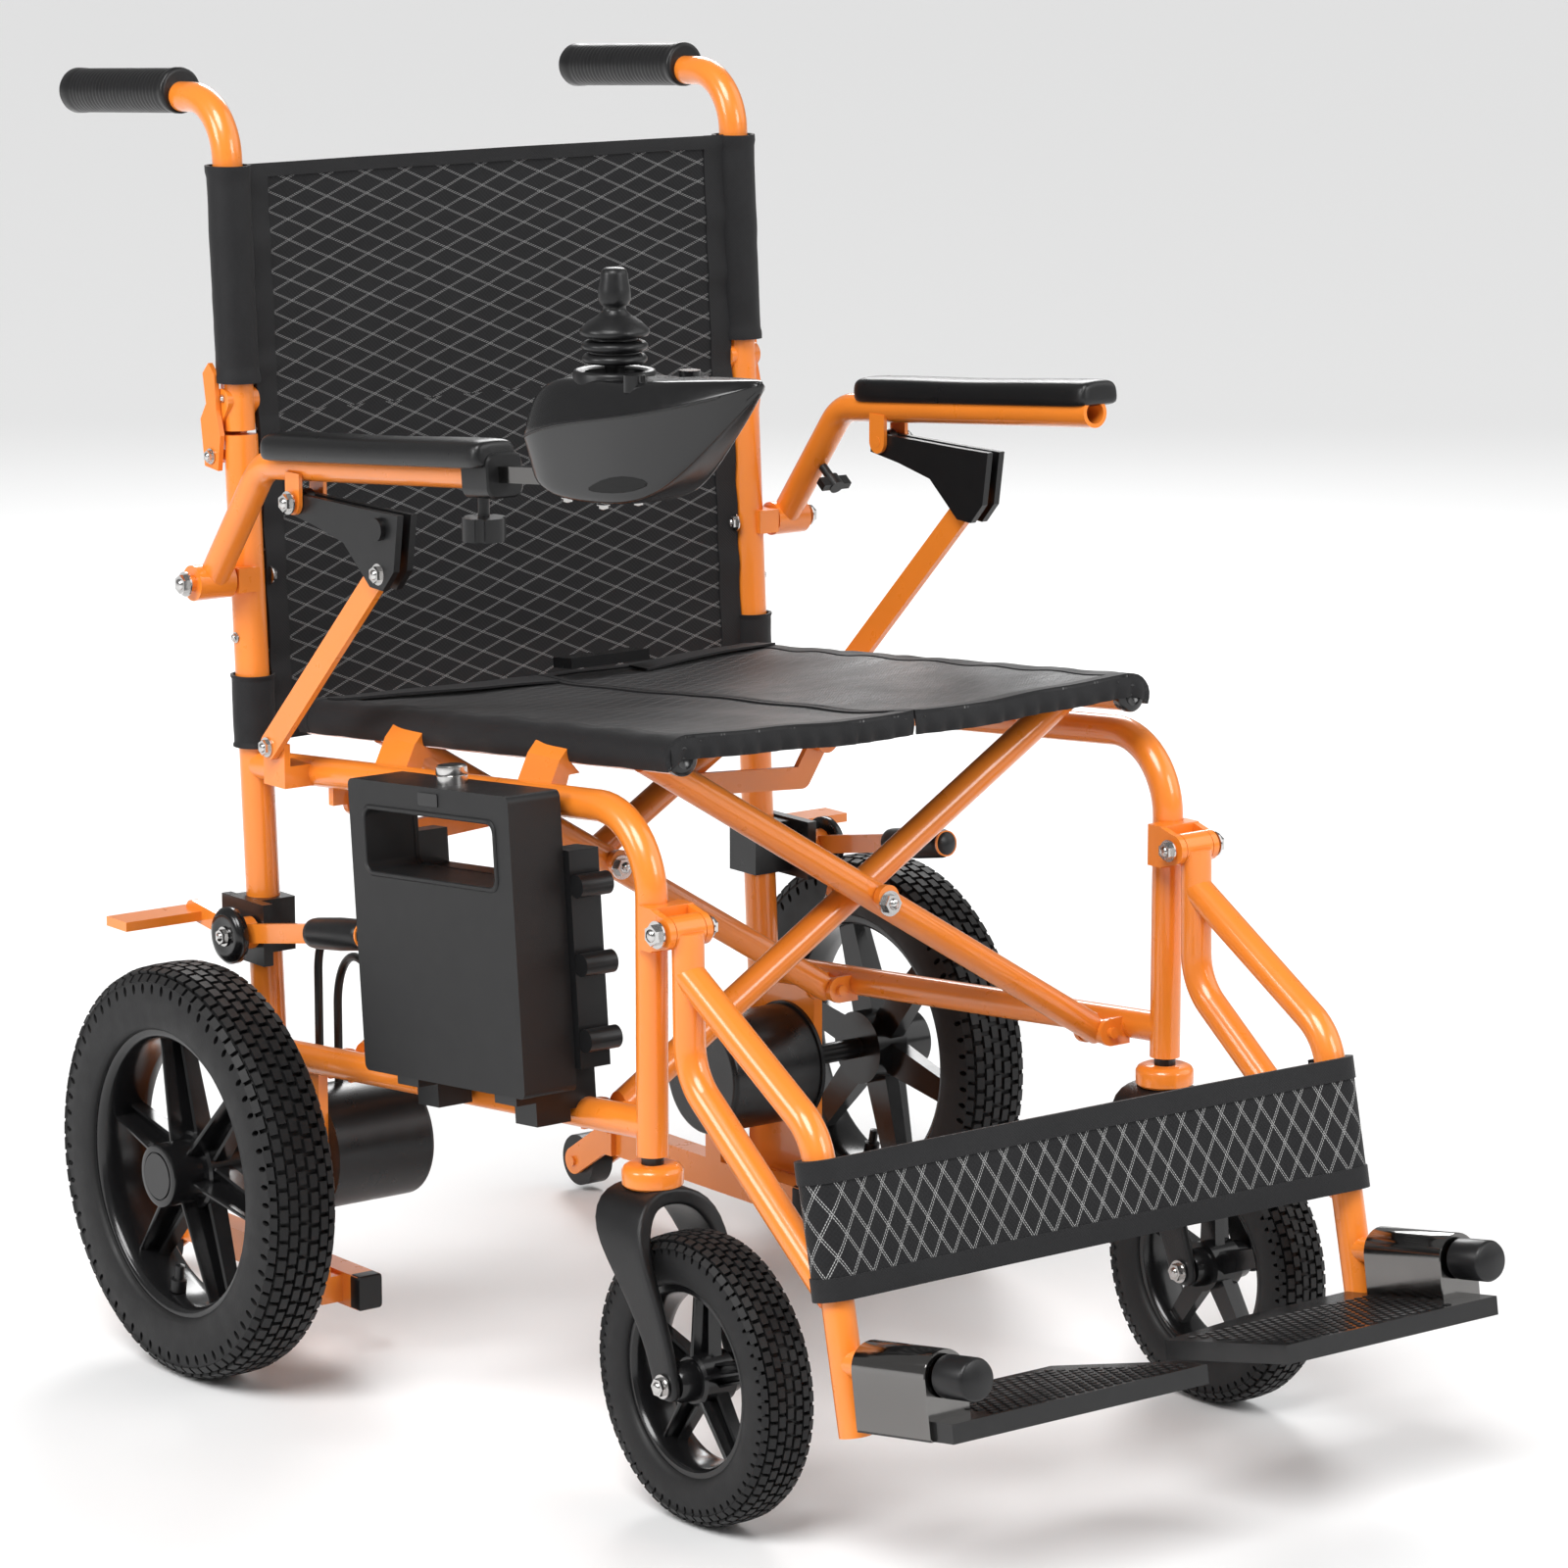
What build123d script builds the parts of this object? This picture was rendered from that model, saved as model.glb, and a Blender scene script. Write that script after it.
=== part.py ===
from build123d import *
import os
from math import atan2, cos, degrees, hypot, radians, sin, tan

# Folding power wheelchair. Millimetres, +Z up, the rider faces -Y, the rider's right is -X.
# Heights called "at zero" are measured where a raked line crosses y = 0 of the design datum.

# Frame layout
frame_x = 229.0            # centre plane of each side frame
seat_rail_x = 198.0        # centre of each seat rail
pivot_x = 208.0            # lower pivots of the cross braces
rake = 5.0                 # rails rise towards the front by this angle
recline = 3.3              # rear posts lean back by this angle
front_post_y = -187.5
rear_post_y = 280.0        # rear post centre, projected down to the floor
upper_rail_z = 461.8       # at zero
lower_rail_z = 246.5       # at zero
pivot_z = 242.5            # at zero
cross_z = 370.0            # at zero, centre bolts of the cross braces
tube_r = 11.0
post_r = 12.5
rail_bend = 55.0
seat_rail_front = -178.0
seat_rail_rear = 276.0
post_top = 678.0           # the rear post ends here, under the folding back

# Cross braces
brace_front_y = -125.0     # middle of the front pair
brace_rear_y = 195.0       # middle of the rear pair
brace_gap = 2.0            # between the two tubes of a pair
ear_t = 4.0                # pivot ears
ear_gap = 0.6
bolt_r = 4.0

# Wheels
rear_r = 152.5
rear_w = 56.0
rear_x = 318.0             # middle of the rear tyre
rear_y = 255.0
rear_rim_r = 106.0
rear_rim_inner = 97.0
hub_face_x = 352.0
axle_r = 8.0
caster_r = 100.0
caster_w = 42.0
caster_y = -246.0
caster_rim_r = 66.0
caster_rim_inner = 58.0
caster_axle_r = 5.0
running = 0.05             # radial clearance of every running fit
stem_r = 8.0
fork_side = 31.0           # centre of a fork leg from the wheel's middle

# Drives
motor_r = 46.0
motor_end_x = 139.0
drive_plate_x = 225.0
drive_plate_t = 8.0
drive_plate_y = 222.0      # front edge of the motor's plate
bar_x = 205.0
bar_z = 52.0
bar_w = 20.0
bar_h = 25.0
bar_front_y = 202.0
bar_rear_y = 470.0
tip_wheel_r = 21.0
tip_wheel_y = 500.0
tip_wheel_z = 25.0
tip_wheel_w = 20.0

# Back
hinge_z = 680.0
hinge_back = 22.0          # hinge pin behind the post centre
lever_z = 662.0            # pivot of the release lever
lever_back = 13.0
lever_x = 245.1
back_top = 895.0
grip_y = (393.0, 542.0)
grip_z = 920.0
grip_r = 17.0
handle_bend = 45.0

# Armrests
arm_x = 262.0
arm_pivot_y = 309.0
arm_pivot_z = 574.0
arm_z = 688.8              # at zero
arm_elbow_y = 235.0
arm_front_y = -64.0
pad_w = 36.0
pad_y = (-66.0, 208.0)
pad_t = 20.0
pad_x = 267.0
latch_y, latch_z = 179.0, 648.0
link_top_y, link_top_z = 76.0, 617.0
link_low_y, link_low_z = 232.0, 463.0
link_x = 263.0
link_t = 5.0

wing_y, wing_z = 268.0, 626.0      # hand screw on the left armrest's leg
wing_axis = Vector(0, -0.786, -0.618)

# Leg rests
leg_x = 225.0
leg_hinge_y = -217.0
leg_hinge_z = 401.5
barrel_half = 12.0
leg_drop_z = 304.0         # the rear tube of the hanger turns forward here
leg_knee_y, leg_knee_z = -362.0, 292.0
leg_foot_y, leg_foot_z = -405.0, 98.0
shaft_tilt = 9.0
shaft_y, shaft_z = -527.0, 166.0      # front end of the footplate shaft's cap
shaft_len = 132.0
shaft_r = 9.0
sleeve_r = 17.0
sleeve_len = 76.0
sleeve_front = 30.0        # behind the front end of the shaft's cap
plate_front = 10.0
plate_drop = 27.0          # plate top below the shaft's axis
plate_t = 13.0
plate_outer = -14.0        # plate edges measured inwards from the shaft
plate_reach = 201.0
tread_right = [(plate_outer, 0), (plate_reach, 0), (plate_reach, 26),
               (plate_reach - 50, 100), (plate_outer, 100)]
tread_left = [(plate_outer, 0), (plate_reach - 22, 0), (plate_reach, 98), (plate_reach - 90, 116),
              (16, 118), (16, 100), (plate_outer, 100)]

# Battery and tray
battery_x = (247.0, 290.0)
battery_l = 197.0
battery_h = 207.0
battery_y, battery_z = -18.0, 371.0
window_l, window_h = 158.0, 44.0
window_up = 61.5
tray_x = (222.0, 246.6)

# Leads: x and y of the start on the motor, top of the rise, end at the tray
cable_r = 3.2
cable_runs = [(-206.0, 262.0, 332.0, (-234.0, 75.6, 318.0)), (-192.0, 258.0, 304.0, (-234.0, 73.6, 294.0))]

# Controller
control_x = 275.0
control_w = 72.0
stick_y, stick_z = -213.0, 776.0
bar_len = 168.0            # square bar between armrest and controller

# Soft parts
seat_t = 6.0
panel_t = 5.0
strap_h = 92.0


def rail_at(z_zero, y):
    return z_zero - y * tan(radians(rake))


def post_at(z):
    return rear_post_y + z * tan(radians(recline))


rail_axis = Vector(0, -cos(radians(rake)), sin(radians(rake)))
shaft_axis = Vector(0, -cos(radians(shaft_tilt)), sin(radians(shaft_tilt)))
brace_angle = degrees(atan2(cross_z - pivot_z, pivot_x))
seat_rail_z = cross_z + seat_rail_x * tan(radians(brace_angle)) + 2.0
grip_end_y = grip_y[1]
origin_y = (grip_end_y + shaft_y) / 2     # the middle of the chair's length
wheel_z = rear_r


def tube(points, radius, bend=30.0):
    path = Line(*points) if len(points) == 2 else FilletPolyline(*points, radius=bend)
    return sweep(Plane(origin=path @ 0, z_dir=path % 0) * Circle(radius), path=path)


def rod(start, end, radius):
    start, end = Vector(*start), Vector(*end)
    plane = Plane(origin=start, z_dir=end - start)
    return extrude(plane * Circle(radius), (end - start).length)


def rod_x(x0, x1, y, z, radius):
    return rod((x0, y, z), (x1, y, z), radius)


def block(x, y, z):
    """x, y and z are (low, high) pairs."""
    size = [abs(b - a) for a, b in (x, y, z)]
    return Pos(*[(a + b) / 2 for a, b in (x, y, z)]) * Box(*size)


def side_plate(points, x0, x1):
    """A plate whose outline is drawn in the YZ plane, between two x values."""
    outline = Plane(origin=(min(x0, x1), 0, 0), x_dir=(0, 1, 0), z_dir=(1, 0, 0)) * make_face(
        Polyline(*points, close=True))
    return extrude(outline, abs(x1 - x0))


def slot_plate(a, b, width, x0, x1):
    """A round-ended flat bar between two (y, z) points."""
    (ay, az), (by, bz) = a, b
    length = hypot(by - ay, bz - az)
    turn = degrees(atan2(bz - az, by - ay))
    plane = Plane(origin=(min(x0, x1), (ay + by) / 2, (az + bz) / 2), x_dir=(0, 1, 0), z_dir=(1, 0, 0))
    return extrude(plane * Rot(0, 0, turn) * SlotCenterToCenter(length, width), abs(x1 - x0))


def ring_x(x0, x1, y, z, outer, inner):
    return rod_x(x0, x1, y, z, outer) - rod_x(x0 - 1, x1 + 1, y, z, inner)


def along_rail(x, y, z, amount):
    """The point moved forward by amount, parallel to the raked rails."""
    step = rail_axis * amount
    return (x, y + step.Y, z + step.Z)


def rail_rod(x, y, z, half, radius):
    return rod(along_rail(x, y, z, -half), along_rail(x, y, z, half), radius)


def left_of(shape):
    return mirror(shape, about=Plane.YZ)


# y of the four brace tubes, the tube of brace_b stands in front of its partner
pair_half = tube_r + brace_gap / 2
b_tubes = (brace_front_y - pair_half, brace_rear_y - pair_half)
a_tubes = (brace_front_y + pair_half, brace_rear_y + pair_half)


def pivot_ears(y, x):
    """Two ears on the lower rail with a bolt between them, round one brace tube's end."""
    z = rail_at(pivot_z, y)
    ears = None
    for side in (-1, 1):
        offset = side * (tube_r + ear_gap + ear_t / 2)
        px, py, pz = along_rail(x, y, z, offset)
        ear = Pos(px, py, pz) * Rot(-rake, 0, 0) * (
            Rot(90, 0, 0) * Cylinder(10, ear_t) + Pos(-8.5, 0, 0) * Box(17, ear_t, 20))
        ears = ear if ears is None else ears + ear
    return ears + rail_rod(x, y, z, tube_r + ear_gap + ear_t + 4, bolt_r)


def side_frame(brace_ys, link_y):
    """The welded right side frame."""
    x = -frame_x
    corner_z = rail_at(upper_rail_z, front_post_y)
    rear_join = post_at(rail_at(upper_rail_z, 305))
    body = tube([(x, front_post_y, 242), (x, front_post_y, corner_z),
                 (x, rear_join, rail_at(upper_rail_z, rear_join))], tube_r, rail_bend)
    body += rod((x, post_at(214), 214), (x, post_at(post_top), post_top), post_r)
    low_rear = post_at(222)
    body += rod((x, front_post_y, rail_at(lower_rail_z, front_post_y)),
                (x, low_rear, rail_at(lower_rail_z, low_rear)), tube_r)
    for y in brace_ys:
        body += pivot_ears(y, -pivot_x)
    body += drive_frame()
    body += leg_bracket()
    body += saddles()
    body += hinge_block()
    # pin of the armrest, plate of the armrest link, tab of the fold link
    body += rod_x(x, -arm_x - 22, arm_pivot_y, arm_pivot_z, 6.0)
    body += block((x - 18, x), (arm_pivot_y - 13, arm_pivot_y + 9), (arm_pivot_z - 9, arm_pivot_z + 9))
    body += link_plate()
    body += link_tab(link_y)
    # bore for the caster stem
    body -= rod((x, front_post_y, 200), (x, front_post_y, 290), stem_r + running)
    return body


def hinge_block():
    """The rear post carries the back's hinge pin on a block behind it."""
    x = -frame_x
    y = post_at(hinge_z) + hinge_back
    body = block((x - 6, x + 6), (post_at(hinge_z), y + 6), (hinge_z - 24, post_top - 2))
    body += rod_x(x - 6, x + 6, y, hinge_z, 9)
    body += rod_x(x - 13.5, x + 15, y, hinge_z, 4)
    lever_y = post_at(lever_z) + lever_back
    return body + rod_x(x - 19.5, x, lever_y, lever_z, 4)


def link_plate():
    """Upright plate on the upper rail that carries the armrest link."""
    x0 = -link_x + link_t / 2 + 0.4
    rail_z = rail_at(upper_rail_z, link_low_y)
    body = block((x0, x0 + 5), (link_low_y - 14, link_low_y + 14), (rail_z - 8, link_low_z + 3))
    body += rod_x(x0, x0 + 5, link_low_y, link_low_z, 11)
    body += block((x0, -frame_x), (link_low_y - 14, link_low_y + 14), (rail_z - 8, rail_z + 8))
    return body + rod_x(x0 - link_t - 4.5, x0, link_low_y, link_low_z, bolt_r)


tab_x = 207.0
tab_drop = 24.0


def link_tab(link_y):
    """Small tab under the upper rail, where the fold link turns."""
    z = rail_at(upper_rail_z, link_y) - tab_drop
    body = block((-frame_x, -tab_x), (link_y - 3, link_y + 3), (z, z + tab_drop))
    body += Pos(-tab_x, link_y, z) * Rot(90, 0, 0) * Cylinder(10, 6)
    return body + rail_rod(-tab_x, link_y, z, 12, bolt_r)


def leg_bracket():
    """A bridge on the front post and two ears with the leg rest's hinge pin."""
    bridge_y = front_post_y - tube_r - 4
    low, high = -leg_x - barrel_half - ear_gap - 5, -leg_x + barrel_half + ear_gap + 5
    body = block((low, high), (bridge_y - 3, front_post_y - 3), (leg_hinge_z - 15, leg_hinge_z + 15))
    for x0 in (low, high - 5):
        body += side_plate([(bridge_y, leg_hinge_z - 15), (leg_hinge_y, leg_hinge_z - 11),
                            (leg_hinge_y, leg_hinge_z + 11), (bridge_y, leg_hinge_z + 15)], x0, x0 + 5)
        body += rod_x(x0, x0 + 5, leg_hinge_y, leg_hinge_z, 11)
    return body + rod_x(low - 3, high + 3, leg_hinge_y, leg_hinge_z, 5)


def saddles():
    """Cradles on the upper rail that take the lowered seat rail."""
    body = None
    for y in (-50.0, 128.0):
        z_side = rail_at(upper_rail_z, y)
        z_rail = rail_at(seat_rail_z, y)
        outline = [(-frame_x - 4, z_side), (-frame_x + 12, z_side), (-frame_x + 17, z_rail - 15),
                   (-seat_rail_x - 5, z_rail - 14.5), (-seat_rail_x - 14.5, z_rail - 4),
                   (-seat_rail_x - 15, z_rail + 4), (-frame_x + 9, z_rail - 4)]
        plane = Plane(origin=(0, y + 19, 0), x_dir=(1, 0, 0), z_dir=(0, -1, 0))
        cradle = extrude(plane * make_face(Polyline(*outline, close=True)), 38)
        body = cradle if body is None else body + cradle
    return body


def drive_frame():
    """Plate, struts and low bar that carry the motor and the anti-tip wheel."""
    x = -drive_plate_x
    plate = block((x - drive_plate_t, x), (drive_plate_y, drive_plate_y + 84), (bar_z - 10, 228))
    plate -= rod_x(x - 20, x + 5, rear_y, wheel_z, axle_r + 2)
    body = plate
    low, high = -bar_x - bar_w / 2, -bar_x + bar_w / 2
    body += block((x - drive_plate_t, low + 1), (drive_plate_y, drive_plate_y + 60), (bar_z - 10, bar_z + 10))
    body += block((low, high), (bar_front_y, bar_rear_y), (bar_z - bar_h / 2, bar_z + bar_h / 2))
    body += block((low, high), (304, 324), (bar_z, 190))
    body += block((x - drive_plate_t, high), (304, 324), (150, 190))
    body += block((low - 5, high + 5), (bar_rear_y - 24, bar_rear_y), (bar_z - 12, bar_z + 12))
    for side in (-1, 1):
        mid = -bar_x + side * (tip_wheel_w / 2 + 3)
        body += slot_plate((tip_wheel_y, tip_wheel_z), (bar_rear_y - 12, bar_z), 22, mid - 1.7, mid + 1.7)
    return body + rod_x(-bar_x - 17, -bar_x + 17, tip_wheel_y, tip_wheel_z, 4)


def motor():
    """Gear motor with its axle."""
    x = -drive_plate_x
    body = rod_x(x + 3, -motor_end_x, rear_y, wheel_z, motor_r)
    body = fillet(body.edges().group_by(Axis.X)[-1], 4)
    body += rod_x(x, x + 3, rear_y, wheel_z, motor_r + 2)
    return body + rod_x(-hub_face_x + 4, x, rear_y, wheel_z, axle_r)


def tyre(x, y, z, outer, inner, width):
    """Round-shouldered tyre, revolved about its axle."""
    half = width / 2
    depth = outer - inner
    outline = Polyline((inner, -half + 4), (inner + 5, -half), (inner + depth * 0.55, -half),
                       (outer - 3, -half * 0.62), (outer, -half * 0.3), (outer, half * 0.3),
                       (outer - 3, half * 0.62), (inner + depth * 0.55, half), (inner + 5, half),
                       (inner, half - 4), close=True)
    shape = revolve(Plane.XZ * make_face(outline), Axis.Z)
    return Pos(x, y, z) * Rot(0, 90, 0) * shape


def rim(x, y, z, outer, inner, width, hub_r, hub_x, bore, spokes, spoke_w):
    """Ring, hub and spokes in one moulding, with a plain bore."""
    body = ring_x(x - width / 2, x + width / 2, y, z, outer, inner)
    body += rod_x(hub_x[0], hub_x[1], y, z, hub_r)
    for i in range(spokes):
        arm = Box(18, spoke_w, inner + 4 - hub_r * 0.5)
        arm = Pos(0, 0, (inner + 4 + hub_r * 0.5) / 2) * arm
        body += Pos(x, y, z) * Rot(360 / spokes * i + 12, 0, 0) * arm
    return body - rod_x(min(hub_x) - 2, max(hub_x) + 2, y, z, bore)


def rear_rim():
    body = rim(-rear_x, rear_y, wheel_z, rear_rim_r, rear_rim_inner, rear_w - 12, 24,
               (-hub_face_x, -rear_x + 24), axle_r + running, 6, 17)
    # the blind outer end of the hub is its cap
    return body + rod_x(-hub_face_x, -hub_face_x + 3.6, rear_y, wheel_z, 24)


def caster_rim():
    return rim(-frame_x, caster_y, caster_r, caster_rim_r, caster_rim_inner, caster_w - 12, 15,
               (-frame_x - fork_side + 4.5, -frame_x + fork_side - 4.5), caster_axle_r + running, 5, 12)


def caster_fork():
    """Stem, collar, crown, two legs and the axle."""
    x = -frame_x
    body = rod((x, front_post_y, 215), (x, front_post_y, 284), stem_r)
    body += rod((x, front_post_y, 221), (x, front_post_y, 236), 21)
    crown = block((x - 34, x + 34), (front_post_y - 27, front_post_y + 21), (203, 221))
    body += fillet(crown.edges().filter_by(Axis.Z), 14)
    leg = [(front_post_y + 20, 218), (front_post_y - 26, 218), (front_post_y - 36, 190),
           (caster_y - 13, caster_r + 2), (caster_y + 13, caster_r - 2), (front_post_y + 6, 170),
           (front_post_y + 20, 200)]
    for side in (-1, 1):
        mid = x + side * fork_side
        body += side_plate(leg, mid - 3, mid + 3)
        body += rod_x(mid - 3, mid + 3, caster_y, caster_r, 13)
        body += rod_x(mid, mid + side * 7, caster_y, caster_r, 7)
    return body + rod_x(x - fork_side, x + fork_side, caster_y, caster_r, caster_axle_r)


def brace(tube_ys, side):
    """One half of the scissor: two tubes, their pivot sleeves and the seat rail they carry.

    side is -1 for the half that starts at the right frame's lower pivots and 1 for the other.
    """
    body = None
    top_x = -side * seat_rail_x
    for y in tube_ys:
        low = (side * pivot_x, y, rail_at(pivot_z, y))
        top = (top_x, y, rail_at(seat_rail_z, y) - 2)
        bar = rod(low, top, tube_r - 0.5)
        sleeve = rail_rod(low[0], low[1], low[2], tube_r, 9)
        # the sleeve makes the tube's rounded end
        bar = bar - (Pos(low[0] + side * 26, low[1], low[2]) * Box(60, 60, 120)) + sleeve
        body = bar if body is None else body + bar
    rail = rod((top_x, seat_rail_front, rail_at(seat_rail_z, seat_rail_front)),
               (top_x, seat_rail_rear, rail_at(seat_rail_z, seat_rail_rear)), tube_r)
    body += rail
    for y in tube_ys:
        low = (side * pivot_x, y, rail_at(pivot_z, y))
        body -= rail_rod(low[0], low[1], low[2], 30, bolt_r + running)
        body -= rail_rod(0, y, rail_at(cross_z, y), 20, bolt_r + running)
    return body


def brace_bolts():
    """The two centre bolts of the scissor, with heads and nuts."""
    bolts = None
    for y in (brace_front_y, brace_rear_y):
        z = rail_at(cross_z, y)
        reach = 2 * tube_r + brace_gap / 2
        bolt = rail_rod(0, y, z, reach + 1, bolt_r)
        for end in (-1, 1):
            near = along_rail(0, y, z, end * (reach + 0.9))
            far = along_rail(0, y, z, end * (reach + 7))
            bolt += rod(near, far, 9)
        bolts = bolt if bolts is None else bolts + bolt
    return bolts


link_brace_s = 90.0        # along the brace from its centre bolt
fold_link_t = 5.0
# the fold links lie beside the brace tube that each one pushes
b_link_y_of_right = b_tubes[1] + tube_r + 0.8 + fold_link_t / 2
a_link_y_of_left = a_tubes[1] - tube_r - 0.8 - fold_link_t / 2
a_link_y = b_link_y_of_right + fold_link_t / 2 + 5.6
b_link_y = a_link_y_of_left - fold_link_t / 2 - 5.6


def link_points():
    """(x, z above the pivot line) of the fold link's ends and elbow, right side."""
    start = (-tab_x, upper_rail_z - tab_drop)
    end = (-link_brace_s * cos(radians(brace_angle)), cross_z + link_brace_s * sin(radians(brace_angle)))
    elbow = (-tab_x + 18, upper_rail_z - tab_drop - 28)
    return start, elbow, end


def fold_link(y):
    """Dog-leg flat bar from the frame's tab to the brace tube, right side."""
    body = None
    start, elbow, end = link_points()
    for (ax, az), (bx, bz) in ((start, elbow), (elbow, end)):
        length = hypot(bx - ax, bz - az)
        turn = degrees(atan2(bz - az, bx - ax))
        middle = ((ax + bx) / 2, y, rail_at((az + bz) / 2, y))
        plane = Plane(origin=(middle[0], y + fold_link_t / 2, middle[2]), x_dir=(1, 0, 0), z_dir=(0, -1, 0))
        bar = extrude(plane * Rot(0, 0, turn) * SlotCenterToCenter(length, 17), fold_link_t)
        body = bar if body is None else body + bar
    return body - rail_rod(start[0], y, rail_at(start[1], y), 20, bolt_r + running)


def back_post():
    """Upper post, push handle tube and the two hinge ears."""
    x = -frame_x
    low = post_top + 3
    hinge_y = post_at(hinge_z) + hinge_back
    body = tube([(x, post_at(low), low), (x, post_at(back_top + 26), back_top + 26),
                 (x, grip_y[1] - 12, grip_z - 6)], tube_r, handle_bend)
    for low_x in (-13.5, 7.5):
        ear = slot_plate((hinge_y, hinge_z), (post_at(low + 22) + 2, low + 22), 18, x + low_x, x + low_x + 6)
        body += ear
    body += block((x - 8, x + 8), (post_at(low + 20), post_at(low + 20) + 12), (low + 6, low + 34))
    return body - rod_x(x - 30, x + 30, hinge_y, hinge_z, 4 + running)


def push_grip():
    """Hand grip over the handle tube."""
    x = -frame_x
    slope = (grip_z + 4, grip_z - 6)
    body = rod((x, grip_y[0], slope[0]), (x, grip_y[1], slope[1]), grip_r)
    return body


def back_lever():
    """Flat release lever beside the back hinge."""
    y, z = post_at(lever_z) + lever_back, lever_z
    outline = [(y - 9, z - 10), (y + 9, z - 8), (y + 14, z + 26), (y + 6, z + 38), (y + 10, z + 60),
               (y + 2, z + 68), (y - 6, z + 60), (y - 8, z + 34), (y - 13, z + 16)]
    body = side_plate(outline, -lever_x - 1.9, -lever_x + 1.9)
    return body - rod_x(-frame_x - 30, -frame_x, y, z, 4 + running)


def armrest_tube():
    """Cranked armrest tube with its pivot sleeve."""
    x = -arm_x
    body = tube([(x, arm_pivot_y, arm_pivot_z), (x, arm_elbow_y, rail_at(arm_z, arm_elbow_y)),
                 (x, arm_front_y, rail_at(arm_z, arm_front_y))], tube_r, 38)
    body += rod_x(x - 17, x + 13.5, arm_pivot_y, arm_pivot_z, 13)
    body -= rod_x(x - 40, x + 40, arm_pivot_y, arm_pivot_z, 6 + running)
    return body - rod((x, arm_front_y - 5, rail_at(arm_z, arm_front_y - 5)),
                      (x, arm_front_y + 75, rail_at(arm_z, arm_front_y + 75)), 8)


def armrest_pad():
    """Slab with round corners that sits over the top of the tube."""
    length = pad_y[1] - pad_y[0]
    middle = (pad_y[0] + pad_y[1]) / 2
    slab = extrude(RectangleRounded(pad_w, length, 12), pad_t)
    slab = chamfer(slab.edges().group_by(Axis.Z)[-1], 2.5)
    slab = Pos(-pad_x, middle, rail_at(arm_z, middle) + 4) * Rot(-rake, 0, 0) * slab
    return slab - rod((-arm_x, pad_y[0] - 20, rail_at(arm_z, pad_y[0] - 20)),
                      (-arm_x, pad_y[1] + 40, rail_at(arm_z, pad_y[1] + 40)), tube_r + 0.05)


def arm_latch():
    """Two black cheeks that hang from the armrest and take the link's end."""
    outline = [(latch_y + 10, latch_z + 6), (latch_y + 12, latch_z - 9), (latch_y - 22, latch_z - 14),
               (latch_y - 60, latch_z - 22), (link_top_y + 10, link_top_z - 18), (link_top_y - 6, link_top_z - 19),
               (link_top_y - 20, link_top_z - 4), (link_top_y - 26, link_top_z + 36), (link_top_y + 20, link_top_z + 36)]
    body = None
    for side in (-1, 1):
        low = -link_x + side * (link_t / 2 + 0.6)
        cheek = side_plate(outline, low, low + side * 5)
        body = cheek if body is None else body + cheek
    spacer = link_t / 2 + 1
    body += rod_x(-link_x - spacer, -link_x + spacer, latch_y, latch_z, 9)
    return body - rod_x(-link_x - 30, -link_x + 30, latch_y, latch_z, bolt_r + running)


def latch_lug():
    """Pin under the armrest tube on which the latch turns."""
    top = rail_at(arm_z, latch_y) - tube_r + 3
    body = None
    for side in (-1, 1):
        low = -link_x + side * (link_t / 2 + 6.2)
        lug = block((low, low + side * 3.0), (latch_y - 9, latch_y + 9), (latch_z, top + 4))
        lug += rod_x(low, low + side * 3.0, latch_y, latch_z, 9)
        body = lug if body is None else body + lug
    return body + rod_x(-link_x - 14.5, -link_x + 12.0, latch_y, latch_z, bolt_r)


def arm_link():
    """Flat strut between the side rail and the latch."""
    body = slot_plate((link_low_y, link_low_z), (link_top_y, link_top_z), 19,
                      -link_x - link_t / 2, -link_x + link_t / 2)
    return body - rod_x(-link_x - 20, -link_x + 20, link_low_y, link_low_z, bolt_r + running)


def latch_button():
    """Release button on the latch's outer cheek, at its knee."""
    low = -link_x - link_t / 2 - 5.6
    return rod_x(low + 1, low - 4, link_top_y - 3, link_top_z + 24, 8)


def leg_hanger():
    """Hinge barrel, rear tube, front tube and footplate shaft of one leg rest."""
    x = -leg_x
    body = rod_x(x - barrel_half, x + barrel_half, leg_hinge_y, leg_hinge_z, 11)
    foot = (x, leg_foot_y, leg_foot_z)
    body += tube([(x, leg_hinge_y - 6, leg_hinge_z), (x, leg_hinge_y - 8, leg_drop_z),
                  (x, leg_foot_y + 24, leg_foot_z + 88)], tube_r, 45)
    body += tube([(x, leg_hinge_y - 6, leg_hinge_z - 28), (x, leg_knee_y, leg_knee_z), foot], tube_r, 45)
    start = Vector(x, shaft_y, shaft_z)
    end = start - shaft_axis * shaft_len
    body += rod(tuple(start), tuple(end), shaft_r)
    cap = start - shaft_axis * 26
    body += rod(tuple(start), tuple(cap), 13.5)
    return body - rod_x(-frame_x - 40, -frame_x + 40, leg_hinge_y, leg_hinge_z, 5 + running)


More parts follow.
